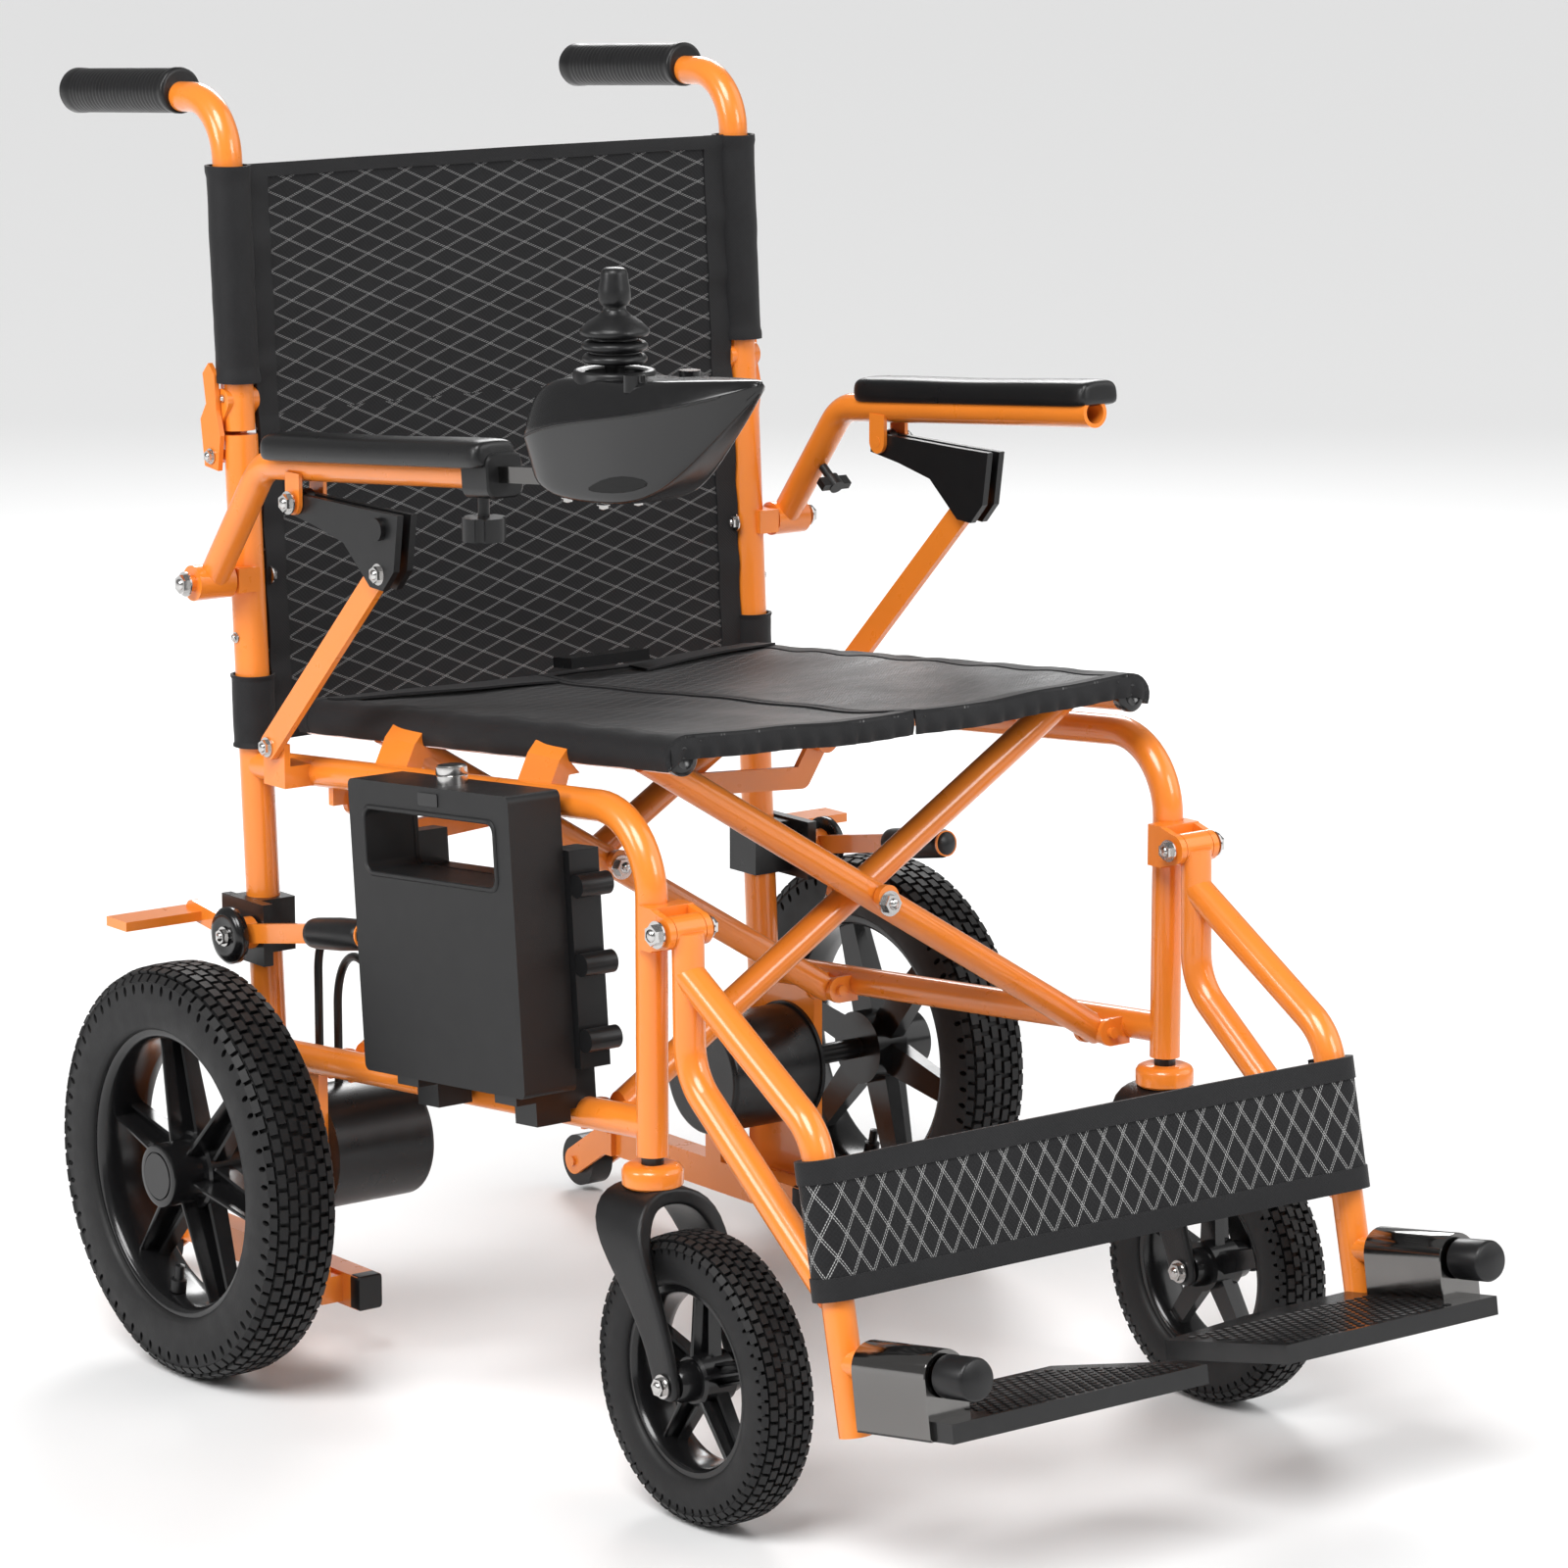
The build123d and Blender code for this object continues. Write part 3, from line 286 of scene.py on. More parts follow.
clear = {"Coat Weight": 0.6, "Coat Roughness": 0.07}
finishes = {
    "framePaint": hardFinish("framePaint", {
        "color": (0.86, 0.235, 0.022), "tooth": 420.0, "rough": 0.3, "drift": 0.16, "shade": 0.1,
        "bump": 0.05, "depth": 0.0006, "dust": 0.017, "fixed": clear}),
    "blackPaint": hardFinish("blackPaint", {
        "color": (0.0066, 0.0066, 0.0072), "tooth": 900.0, "rough": 0.3, "drift": 0.2, "bump": 0.08,
        "dust": 0.017}),
    "powderCoat": hardFinish("powderCoat", {
        "color": (0.006, 0.006, 0.0066), "tooth": 1500.0, "rough": 0.34, "drift": 0.14, "bump": 0.5,
        "depth": 0.0005, "dust": 0.021,
        "fixed": {"Specular IOR Level": 0.4}}),
    "brightSteel": hardFinish("brightSteel", {
        "color": (0.62, 0.61, 0.60), "tooth": 700.0, "rough": 0.2, "drift": 0.2, "bump": 0.06, "dust": 0.010,
        "fixed": {"Metallic": 1.0}}),
    "darkChrome": hardFinish("darkChrome", {
        "color": (0.2, 0.195, 0.19), "tooth": 500.0, "rough": 0.12, "drift": 0.12, "bump": 0.04,
        "dust": 0.014,
        "fixed": {"Metallic": 1.0}}),
    "tyreRubber": hardFinish("tyreRubber", {
        "color": (0.0088, 0.0088, 0.0094), "tooth": 800.0, "rough": 0.52, "drift": 0.25, "bump": 0.25,
        "dust": 0.056,
        "shade": 0.3,
        "fixed": {"Specular IOR Level": 0.3}}),
    "gripRubber": hardFinish("gripRubber", {
        "color": (0.006, 0.006, 0.0066), "tooth": 1100.0, "rough": 0.36, "drift": 0.2, "bump": 0.2,
        "dust": 0.021,
        "fixed": {"Specular IOR Level": 0.4}}),
    "mouldedBlack": hardFinish("mouldedBlack", {
        "color": (0.0072, 0.0072, 0.0077), "tooth": 1600.0, "rough": 0.33, "drift": 0.14, "bump": 0.22,
        "dust": 0.017,
        "fixed": {"Specular IOR Level": 0.4}}),
    "mouldedGloss": hardFinish("mouldedGloss", {
        "color": (0.0055, 0.0055, 0.006), "tooth": 300.0, "rough": 0.2, "drift": 0.14, "bump": 0.05,
        "dust": 0.014}),
    "orangePlastic": hardFinish("orangePlastic", {
        "color": (0.84, 0.22, 0.022), "tooth": 700.0, "rough": 0.34, "drift": 0.14, "bump": 0.12,
        "dust": 0.014}),
    "caseCharcoal": hardFinish("caseCharcoal", {
        "color": (0.0094, 0.0094, 0.0099), "tooth": 2100.0, "rough": 0.44, "drift": 0.1, "bump": 0.35,
        "dust": 0.017,
        "fixed": {"Specular IOR Level": 0.35}}),
    "padSkin": hardFinish("padSkin", {
        "color": (0.0072, 0.0072, 0.0077), "tooth": 1300.0, "rough": 0.3, "drift": 0.16, "bump": 0.4,
        "dust": 0.017,
        "fixed": {"Specular IOR Level": 0.45}}),
    "cableSheath": hardFinish("cableSheath", {
        "color": (0.0066, 0.0066, 0.0066), "tooth": 600.0, "rough": 0.35, "drift": 0.12, "bump": 0.1,
        "fixed": {"Specular IOR Level": 0.4}}),
    # near-black painted shade: the flat dark leaf that stands in for the recess in each side of the
    # controller shell
    "darkHole": hardFinish("darkHole", {
        "color": (0.0011, 0.0011, 0.0011), "tooth": 300.0, "rough": 0.8, "drift": 0.05, "bump": 0.05,
        "dust": 0.000}),
    "seatCloth": clothFinish("seatCloth", {
        "dark": (0.006, 0.006, 0.007), "light": (0.016, 0.016, 0.017), "yarns": 700.0, "rough": 0.38,
        "spread": 0.25, "bump": 0.5, "diamond": (0.030, 0.015, 0.045, 0.03), "dashes": 7.0,
        "thread": (0.2, 0.2, 0.2), "fixed": {"Sheen Weight": 0.08, "Sheen Roughness": 0.4,
                                             "Specular IOR Level": 0.4}}),
    "meshCloth": clothFinish("meshCloth", {
        "dark": (0.004, 0.004, 0.005), "light": (0.012, 0.012, 0.013), "yarns": 620.0, "rough": 0.62,
        "spread": 0.2, "bump": 0.55, "diamond": (0.0355, 0.0148, 0.034, 0.022), "dashes": 9.0,
        "thread": (0.42, 0.42, 0.42), "fixed": {"Sheen Weight": 0.06, "Sheen Roughness": 0.5,
                                                "Specular IOR Level": 0.25}}),
    "strapCloth": clothFinish("strapCloth", {
        "dark": (0.004, 0.004, 0.005), "light": (0.012, 0.012, 0.013), "yarns": 620.0, "rough": 0.62,
        "spread": 0.2, "bump": 0.55, "diamond": (0.0175, 0.0275, 0.05, 0.026), "dashes": 8.0,
        "thread": (0.7, 0.7, 0.69), "fixed": {"Sheen Weight": 0.06, "Sheen Roughness": 0.5,
                                              "Specular IOR Level": 0.25}}),
    "edgeCloth": clothFinish("edgeCloth", {
        "dark": (0.005, 0.005, 0.006), "light": (0.013, 0.013, 0.014), "yarns": 900.0, "rough": 0.5,
        "spread": 0.25, "bump": 0.5, "fixed": {"Sheen Weight": 0.08, "Sheen Roughness": 0.4,
                                               "Specular IOR Level": 0.3}}),
    "thread": hardFinish("thread", {
        "color": (0.05, 0.05, 0.05), "tooth": 2500.0, "rough": 0.6, "drift": 0.1, "bump": 0.4}),
}
print("finishes ready:", len(finishes))


def asPiece(obj, body, finish, angle=38.0):
    mesh = obj.data
    mesh.materials.clear()
    mesh.materials.append(finishes[finish])
    for polygon in mesh.polygons:
        polygon.use_smooth = True
    mesh.set_sharp_from_angle(angle=math.radians(angle))
    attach(obj, body)
    return obj


def meshPiece(name, verts, faces, body, finish, uvs=None, angle=38.0, closed=True):
    mesh = bpy.data.meshes.new(name)
    mesh.from_pydata([tuple(v) for v in verts], [], faces)
    if uvs is not None:
        layer = mesh.uv_layers.new(name="cloth")
        for loop in mesh.loops:
            layer.data[loop.index].uv = uvs[loop.vertex_index]
    work = bmesh.new()
    work.from_mesh(mesh)
    if closed:
        bmesh.ops.remove_doubles(work, verts=work.verts, dist=1e-6)
        bmesh.ops.recalc_face_normals(work, faces=work.faces)
    work.to_mesh(mesh)
    work.free()
    obj = bpy.data.objects.new(name, mesh)
    scene.collection.objects.link(obj)
    return asPiece(obj, body, finish, angle)


def settle(obj, *modifiers):  # applies modifiers in order and keeps the plain result
    for kind, values in modifiers:
        modifier = obj.modifiers.new(kind.lower(), kind)
        for key, value in values.items():
            setattr(modifier, key, value)
    bpy.context.view_layer.update()
    graph = bpy.context.evaluated_depsgraph_get()
    fresh = bpy.data.meshes.new_from_object(obj.evaluated_get(graph))
    old = obj.data
    obj.modifiers.clear()
    obj.data = fresh
    fresh.name = old.name
    bpy.data.meshes.remove(old)
    return obj


def loft(rings, capped=True, ringClosed=True):
    verts, faces, count = [], [], len(rings[0])
    for ring in rings:
        verts += ring
    last = count if ringClosed else count - 1
    for r in range(len(rings) - 1):
        for i in range(last):
            j = (i + 1) % count
            faces.append((r * count + i, r * count + j, (r + 1) * count + j, (r + 1) * count + i))
    if capped:
        for base, ring in ((0, rings[0]), ((len(rings) - 1) * count, rings[-1])):
            verts.append(sum((Vector(v) for v in ring), Vector()) / count)
            hub = len(verts) - 1
            faces += [(base + i, base + (i + 1) % count, hub) for i in range(count)]
    return verts, faces


def frameOf(axis):
    axis = Vector(axis).normalized()
    side = axis.cross(Vector((0, 0, 1)) if abs(axis.z) < 0.9 else Vector((0, 1, 0))).normalized()
    return axis, side, axis.cross(side)


def lathe(centre, axis, profile, segments=48):  # profile: (distance along the axis, radius)
    axis, side, up = frameOf(axis)
    rings = []
    for along, radius in profile:
        radius = max(radius, 1e-5)
        rings.append([centre + axis * along + (side * math.cos(a) + up * math.sin(a)) * radius
                      for a in (2 * math.pi * i / segments for i in range(segments))])
    return loft(rings)


def roundedOutline(width, height, radius, steps=5):
    points = []
    for cx, cy, start in ((1, 1, 0), (-1, 1, 90), (-1, -1, 180), (1, -1, 270)):
        for i in range(steps + 1):
            a = math.radians(start + 90 * i / steps)
            points.append((cx * (width / 2 - radius) + radius * math.cos(a),
                           cy * (height / 2 - radius) + radius * math.sin(a)))
    return points


cadFinish = {
    "side_frame": "framePaint", "motor": "blackPaint", "back_post": "framePaint",
    "back_lever": "orangePlastic",
    "armrest_tube": "framePaint", "arm_latch": "mouldedBlack", "arm_link": "framePaint",
    "leg_hanger": "framePaint", "tip_wheel": "gripRubber", "brake_clamp": "blackPaint",
    "brake_lever": "framePaint", "fold_link": "framePaint", "brace_a": "framePaint", "brace_b": "framePaint",
    "battery_tray": "mouldedBlack", "controller_bar": "darkChrome",
    "joystick_gimbal": "mouldedBlack", "power_button": "mouldedGloss", "horn_button": "mouldedGloss",
    "clamp_knob": "mouldedBlack", "wing_screw": "mouldedBlack", "drive_cables": "cableSheath",
    "lap_buckle": "mouldedGloss", "battery_pack": "caseCharcoal", "footplate": "mouldedGloss",
}
for name, obj in nodes.items():
    key = name if name in cadFinish else name.rsplit("_", 1)[0]
    finish = cadFinish.get(key)
    if finish:
        obj.data.materials.clear()
        obj.data.materials.append(finishes[finish])
print("carried nodes painted")


def newTree(name, inputs):
    tree = bpy.data.node_groups.new(name, "GeometryNodeTree")
    tree.interface.new_socket("Geometry", in_out="INPUT", socket_type="NodeSocketGeometry")
    ids = {}
    for label, value in inputs.items():
        kind = "NodeSocketInt" if isinstance(value, int) else "NodeSocketFloat"
        socket = tree.interface.new_socket(label, in_out="INPUT", socket_type=kind)
        socket.default_value = value
        ids[label] = socket.identifier
    tree.interface.new_socket("Geometry", in_out="OUTPUT", socket_type="NodeSocketGeometry")
    return tree, tree.nodes.new("NodeGroupInput"), tree.nodes.new("NodeGroupOutput"), ids



def placingTree(name, inputs, makeOne, finish):
    # one small part set on every host point: Z along "facing", X along "along", scaled by "size"
    tree, start, end, ids = newTree(name, inputs)
    wire = Wire(tree)
    one = makeOne(wire, start)
    facing = wire.add("GeometryNodeInputNamedAttribute", {"data_type": "FLOAT_VECTOR"})
    facing.inputs["Name"].default_value = "facing"
    along = wire.add("GeometryNodeInputNamedAttribute", {"data_type": "FLOAT_VECTOR"})
    along.inputs["Name"].default_value = "along"
    size = wire.add("GeometryNodeInputNamedAttribute", {"data_type": "FLOAT"})
    size.inputs["Name"].default_value = "size"
    toFacing = wire.add("FunctionNodeAlignRotationToVector", {"axis": "Z"}, Vector=facing.outputs[0])
    toAlong = wire.add("FunctionNodeAlignRotationToVector", {"axis": "X", "pivot_axis": "Z"},
                       Rotation=toFacing.outputs[0], Vector=along.outputs[0])
    points = wire.add("GeometryNodeMeshToPoints", {}, Mesh=start.outputs["Geometry"])
    placed = wire.add("GeometryNodeInstanceOnPoints", {}, Points=points.outputs[0], Instance=one,
                      Rotation=toAlong.outputs[0], Scale=size.outputs[0])
    real = wire.add("GeometryNodeRealizeInstances", {}, Geometry=placed.outputs[0])
    shade = wire.add("GeometryNodeSetMaterial", {}, Geometry=real.outputs[0])
    shade.inputs["Material"].default_value = finishes[finish]
    wire.link(shade.outputs[0], end.inputs[0])
    return tree, ids


def boxOne(wire, start):  # a low block sitting on its host point
    size = wire.add("ShaderNodeCombineXYZ", {}, X=start.outputs["Length"], Y=start.outputs["Width"],
                    Z=start.outputs["Height"])
    cube = wire.add("GeometryNodeMeshCube", {}, Size=size.outputs[0])
    return cube.outputs[0]


def stitchOne(wire, start):
    rod = wire.add("GeometryNodeMeshCylinder", {"Vertices": 6}, Radius=start.outputs["Radius"],
                   Depth=start.outputs["Length"])
    turn = wire.add("GeometryNodeTransform", {}, Geometry=rod.outputs[0])
    turn.inputs["Rotation"].default_value = (0, math.radians(90), 0)
    return turn.outputs[0]


def boltOne(wire, start):  # washer, six-sided head and a domed end
    def drum(vertices, radius, depth, lift):
        piece = wire.add("GeometryNodeMeshCylinder", {"Vertices": vertices})
        wire.link(wire.math("MULTIPLY", start.outputs["Head"], radius), piece.inputs["Radius"])
        wire.link(wire.math("MULTIPLY", start.outputs["Head"], depth), piece.inputs["Depth"])
        move = wire.add("GeometryNodeTransform", {}, Geometry=piece.outputs[0])
        up = wire.add("ShaderNodeCombineXYZ", {}, Z=wire.math("MULTIPLY", start.outputs["Head"], lift))
        wire.link(up.outputs[0], move.inputs["Translation"])
        return move.outputs[0]
    ball = wire.add("GeometryNodeMeshUVSphere", {"Segments": 16, "Rings": 8})
    wire.link(wire.math("MULTIPLY", start.outputs["Head"], 0.62), ball.inputs["Radius"])
    flat = wire.add("GeometryNodeTransform", {}, Geometry=ball.outputs[0])
    flat.inputs["Scale"].default_value = (1, 1, 0.5)
    up = wire.add("ShaderNodeCombineXYZ", {}, Z=wire.math("MULTIPLY", start.outputs["Head"], 0.78))
    wire.link(up.outputs[0], flat.inputs["Translation"])
    joined = wire.add("GeometryNodeJoinGeometry", {})
    for part in (drum(24, 1.3, 0.18, 0.09), drum(6, 1.0, 0.62, 0.47), flat.outputs[0]):
        wire.link(part, joined.inputs[0])
    return joined.outputs[0]


def placeParts(name, points, tree, ids, values, body, finish, angle=38.0):
    mesh = bpy.data.meshes.new(name + "Host")
    mesh.from_pydata([tuple(p[0]) for p in points], [], [])
    for label, kind in (("facing", "FLOAT_VECTOR"), ("along", "FLOAT_VECTOR"), ("size", "FLOAT")):
        mesh.attributes.new(label, kind, "POINT")
    for i, (spot, face, run, scale) in enumerate(points):
        mesh.attributes["facing"].data[i].vector = face
        mesh.attributes["along"].data[i].vector = run
        mesh.attributes["size"].data[i].value = scale
    host = bpy.data.objects.new(name + "Host", mesh)
    scene.collection.objects.link(host)
    modifier = host.modifiers.new("place", "NODES")
    modifier.node_group = tree
    for label, value in values.items():
        modifier[ids[label]] = value
    bpy.context.view_layer.update()
    graph = bpy.context.evaluated_depsgraph_get()
    made = bpy.data.meshes.new_from_object(host.evaluated_get(graph))
    made.name = name
    bpy.data.objects.remove(host)
    bpy.data.meshes.remove(mesh)
    obj = bpy.data.objects.new(name, made)
    scene.collection.objects.link(obj)
    return asPiece(obj, body, finish, angle)


blockTree, blockIds = placingTree("treadBlocks", {"Length": 0.009, "Width": 0.006, "Height": 0.004}, boxOne,
                                  "tyreRubber")
boltTree, boltIds = placingTree("boltHeads", {"Head": 0.006}, boltOne, "brightSteel")
stitchTree, stitchIds = placingTree("seamStitches", {"Length": 0.0028, "Radius": 0.0004}, stitchOne, "thread")

rearWheel = {"holes": 66, "holeRing": 0.1365, "holeSize": 0.0021, "holeLong": 1.9, "treadDepth": 0.0034,
             "blocks": 74, "rows": ((0.0045, 0.0, 0.0), (0.0125, 0.0004, 0.06), (0.0195, 0.0022, 0.30),
                                    (0.0245, 0.0068, 0.85)),
             "blockLong": 0.0092, "blockWide": 0.0060}
frontWheel = {"holes": 64, "holeRing": 0.0885, "holeSize": 0.0015, "holeLong": 1.9, "treadDepth": 0.0026,
              "blocks": 62, "rows": ((0.0035, 0.0, 0.0), (0.0098, 0.0004, 0.08), (0.0150, 0.0020, 0.38),
                                     (0.0186, 0.0060, 0.9)),
              "blockLong": 0.0072, "blockWide": 0.0048}


def wheelSpace(node):
    low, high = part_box(node)
    return (low + high) / 2, (high.z - low.z) / 2, high.x - low.x


def makeTyre(name, node, look, body):
    centre, outer, width = wheelSpace(node)
    inner = look["inner"]
    half = width / 2
    tread = outer - look["treadDepth"]
    ring, hole = look["holeRing"], look["holeSize"]
    count = look["holes"]
    band = hole * 2.6
    # radius and distance out from the middle of the tyre, from the bead to the crown
    edge = [(inner, half - 0.0045), (inner + 0.0015, half - 0.0022), (inner + 0.004, half - 0.0012),
            (inner + (ring - inner) * 0.4, half - 0.0002), (inner + (ring - inner) * 0.7, half - 0.0001),
            (ring - band, half - 0.0004), (ring + band, half - 0.0016), (tread - 0.0105, half - 0.0032),
            (tread - 0.0058, half - 0.0062), (tread - 0.0024, half - 0.0105), (tread - 0.0008, half - 0.0165),
            (tread, 0.0)]
    verts, faces = [], []
    steps = 2 * count

    def spot(r, a, side, step):
        angle = 2 * math.pi * step / steps
        return Vector((centre.x + side * a, centre.y + r * math.cos(angle), centre.z + r * math.sin(angle)))

    for side in (-1, 1):
        base = len(verts)
        for r, a in edge:
            verts += [spot(r, a, side, s) for s in range(steps)]
        holeRow = 5
        for row in range(len(edge) - 1):
            if row == holeRow:
                continue
            for s in range(steps):
                t = (s + 1) % steps
                faces.append((base + row * steps + s, base + row * steps + t,
                              base + (row + 1) * steps + t, base + (row + 1) * steps + s))
        midR, midA = (edge[5][0] + edge[6][0]) / 2, (edge[5][1] + edge[6][1]) / 2
        middle = len(verts)
        verts += [spot(midR, midA, side, 2 * h) for h in range(count)]
        for h in range(count):
            a, b, c = 2 * h, 2 * h + 1, (2 * h + 2) % steps
            low, high = base + holeRow * steps, base + (holeRow + 1) * steps
            border = [low + a, low + b, low + c, middle + (h + 1) % count, high + c, high + b, high + a,
                      middle + h]
            rims = []
            for depth in (0.0, 0.0055):
                first = len(verts)
                for i in range(8):
                    turn = math.radians(225 + 45 * i)
                    # the hole is longer along the radius than round the tyre
                    dr = math.sin(turn) * hole * look["holeLong"]
                    ds = math.cos(turn) * hole / (2 * math.pi * midR) * steps
                    slope = (edge[6][1] - edge[5][1]) / (edge[6][0] - edge[5][0])
                    verts.append(spot(midR + dr, midA + dr * slope - depth, side, 2 * h + 1 + ds))
                rims.append(first)
            for i in range(8):
                j = (i + 1) % 8
                faces.append((border[i], border[j], rims[0] + j, rims[0] + i))
                faces.append((rims[0] + i, rims[0] + j, rims[1] + j, rims[1] + i))
            faces.append(tuple(rims[1] + i for i in range(8)))
    # the bead closes the shell on the inside
    second = len(edge) * steps + count + count * 16
    for s in range(steps):
        t = (s + 1) % steps
        faces.append((s, t, second + t, second + s))
    obj = meshPiece(name, verts, faces, body, "tyreRubber", angle=45)
    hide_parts(node)
    points = []
    for row, (offset, drop, tilt) in enumerate(look["rows"]):
        for side in (-1, 1):
            for b in range(look["blocks"]):
                angle = 2 * math.pi * (b + (0.5 if row % 2 else 0.0) + (0.25 if side > 0
                                                                        else 0)) / look["blocks"]
                radial = Vector((0, math.cos(angle), math.sin(angle)))
                run = Vector((0, -math.sin(angle), math.cos(angle)))
                face = radial * math.cos(tilt) + Vector((side * math.sin(tilt), 0, 0))
                r = tread - drop + look["treadDepth"] * 0.45 * math.cos(tilt)
                points.append((centre + radial * r + Vector((side * offset, 0, 0)), face, run, 1.0))
    placeParts(name + "Tread", points, blockTree, blockIds, {
        "Length": look["blockLong"], "Width": look["blockWide"], "Height": look["treadDepth"]}, body,
               "tyreRubber")
    return obj


def barrel(centre, out, profile, segments=72):
    return lathe(centre, Vector((out, 0, 0)), profile, segments)


def addSpoke(verts, faces, centre, out, angle, look):
    # open channel with raised edges and a middle rib, tapering from the hub to the rim
    rings = []
    radial = Vector((0, math.cos(angle), math.sin(angle)))
    across = Vector((0, -math.sin(angle), math.cos(angle)))
    axial = Vector((out, 0, 0))
    for t in (0.0, 0.25, 0.5, 0.75, 1.0):
        r = lerp(look["from"], look["to"], t)
        w = lerp(look["wide"][0], look["wide"][1], t) / 2
        h = lerp(look["tall"][0], look["tall"][1], t)
        back = look["back"]
        lip, rib = 0.0016, 0.0015
        shape = [(-w, back), (w, back), (w, back + 0.45 * h), (w - lip, back + 0.5 * h),
                 (w - lip - 0.001, back + 0.3 * h),
                 (rib + 0.0008, back + 0.32 * h), (rib, back + h - 0.001), (rib * 0.5, back + h),
                 (-rib * 0.5, back + h),
                 (-rib, back + h - 0.001), (-rib - 0.0008, back + 0.32 * h),
                 (-w + lip + 0.001, back + 0.3 * h),
                 (-w + lip, back + 0.5 * h), (-w, back + 0.45 * h)]
        rings.append([centre + radial * r + across * u + axial * v for u, v in shape])
    v, f = loft(rings)
    base = len(verts)
    verts += v
    faces += [tuple(base + i for i in face) for face in f]


def makeRim(name, node, look, body, out):
    centre = wheelSpace(look["tyreNode"])[0]
    verts, faces = barrel(centre, out, look["barrel"])
    for profile in look["drums"]:
        v, f = barrel(centre, out, profile, 40)
        base = len(verts)
        verts += v
        faces += [tuple(base + i for i in face) for face in f]
    for s in range(look["spokes"]):
        addSpoke(verts, faces, centre, out, math.radians(look["turn"] + 360 / look["spokes"] * s),
                 look["spoke"])
    obj = meshPiece(name, verts, faces, body, "mouldedGloss", angle=32)
    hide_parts(node)
    return obj


def ringProfile(outer, inner, half, lip):
    # a closed ring section: outside face, lips and a curved inside well
    return [(-half, outer), (-half, inner + lip), (-half + 0.001, inner + lip * 0.5), (-half + 0.003, inner),
            (-half * 0.5, inner - 0.0012), (half * 0.2, inner - 0.0008), (half - 0.004, inner + 0.0005),
            (half - 0.0012, inner + lip * 0.6), (half, inner + lip), (half, outer), (-half, outer)]


def openRing(centre, out, profile, segments=80):
    # the section is a closed loop, so the ring has no caps
    axis, side, up = frameOf((out, 0, 0) if out else (0, 0, 1))
    rings = [[centre + axis * a + (side * math.cos(t) + up * math.sin(t)) * r
              for t in (2 * math.pi * i / segments for i in range(segments))] for a, r in profile]
    return loft(rings, capped=False)


for side, k in sides:
    body = "wheel_" + side
    rearWheel["inner"] = 0.106
    makeTyre("rearTyre_" + side, "rear_tyre_" + side, rearWheel, body)
    centre, outer, width = wheelSpace("rear_tyre_" + side)
    low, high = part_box("rear_rim_" + side)
    hubOut = abs((high.x if k > 0 else low.x) - centre.x)
    ringVerts, ringFaces = openRing(centre, k, ringProfile(0.106, 0.0985, 0.022, 0.004))
    rim = {"tyreNode": "rear_tyre_" + side, "spokes": 6, "turn": 12,
           "barrel": [(-0.022, 0.0), (-0.022, 0.022), (hubOut - 0.0035, 0.0235), (hubOut - 0.0012, 0.0228),
                      (hubOut - 0.0006, 0.0212), (hubOut - 0.0006, 0.0180), (hubOut - 0.0014, 0.0176),
                      (hubOut - 0.0014, 0.0172), (hubOut, 0.0168), (hubOut, 0.0)],
           "drums": [[(-0.024, 0.0), (-0.024, 0.029), (0.004, 0.029), (0.006, 0.027), (0.006, 0.0)]],
           "spoke": {"from": 0.020, "to": 0.0985, "wide": (0.026, 0.019), "tall": (0.030, 0.022),
                     "back": -0.012}}
    made = makeRim("rearRim_" + side, "rear_rim_" + side, rim, body, k)
    meshPiece("rearRimRing_" + side, ringVerts, ringFaces, body, "mouldedGloss", angle=40)
    # valve and its clip sit in the rim well
    angle = math.radians(-78)
    spot = centre + Vector((k * 0.006, 0.089 * math.cos(angle), 0.089 * math.sin(angle)))
    v, f = lathe(spot, Vector((0, -math.cos(angle), -math.sin(angle))),
                 [(-0.008, 0.0), (-0.008, 0.0062), (0.001, 0.0060), (0.002, 0.0036), (0.012, 0.0034),
                  (0.013, 0.0)], 20)
    meshPiece("tyreValve_" + side, v, f, body, "mouldedBlack")

    body = "caster_" + side
    frontWheel["inner"] = 0.066
    makeTyre("casterTyre_" + side, "caster_tyre_" + side, frontWheel, body)
    centre, outer, width = wheelSpace("caster_tyre_" + side)
    ringVerts, ringFaces = openRing(centre, k, ringProfile(0.066, 0.0592, 0.016, 0.003))
    rim = {"tyreNode": "caster_tyre_" + side, "spokes": 5, "turn": 18,
           "barrel": [(-0.0262, 0.0), (-0.0262, 0.011), (-0.022, 0.0135), (-0.004, 0.0148), (0.004, 0.0148),
                      (0.022, 0.0135), (0.0262, 0.011), (0.0262, 0.0)],
           "drums": [[(-0.014, 0.0), (-0.014, 0.018), (0.010, 0.018), (0.012, 0.016), (0.012, 0.0)]],
           "spoke": {"from": 0.011, "to": 0.0592, "wide": (0.017, 0.013), "tall": (0.020, 0.017),
                     "back": -0.008}}
    makeRim("casterRim_" + side, "caster_rim_" + side, rim, body, k)
    meshPiece("casterRimRing_" + side, ringVerts, ringFaces, body, "mouldedGloss", angle=40)
print("wheels built")

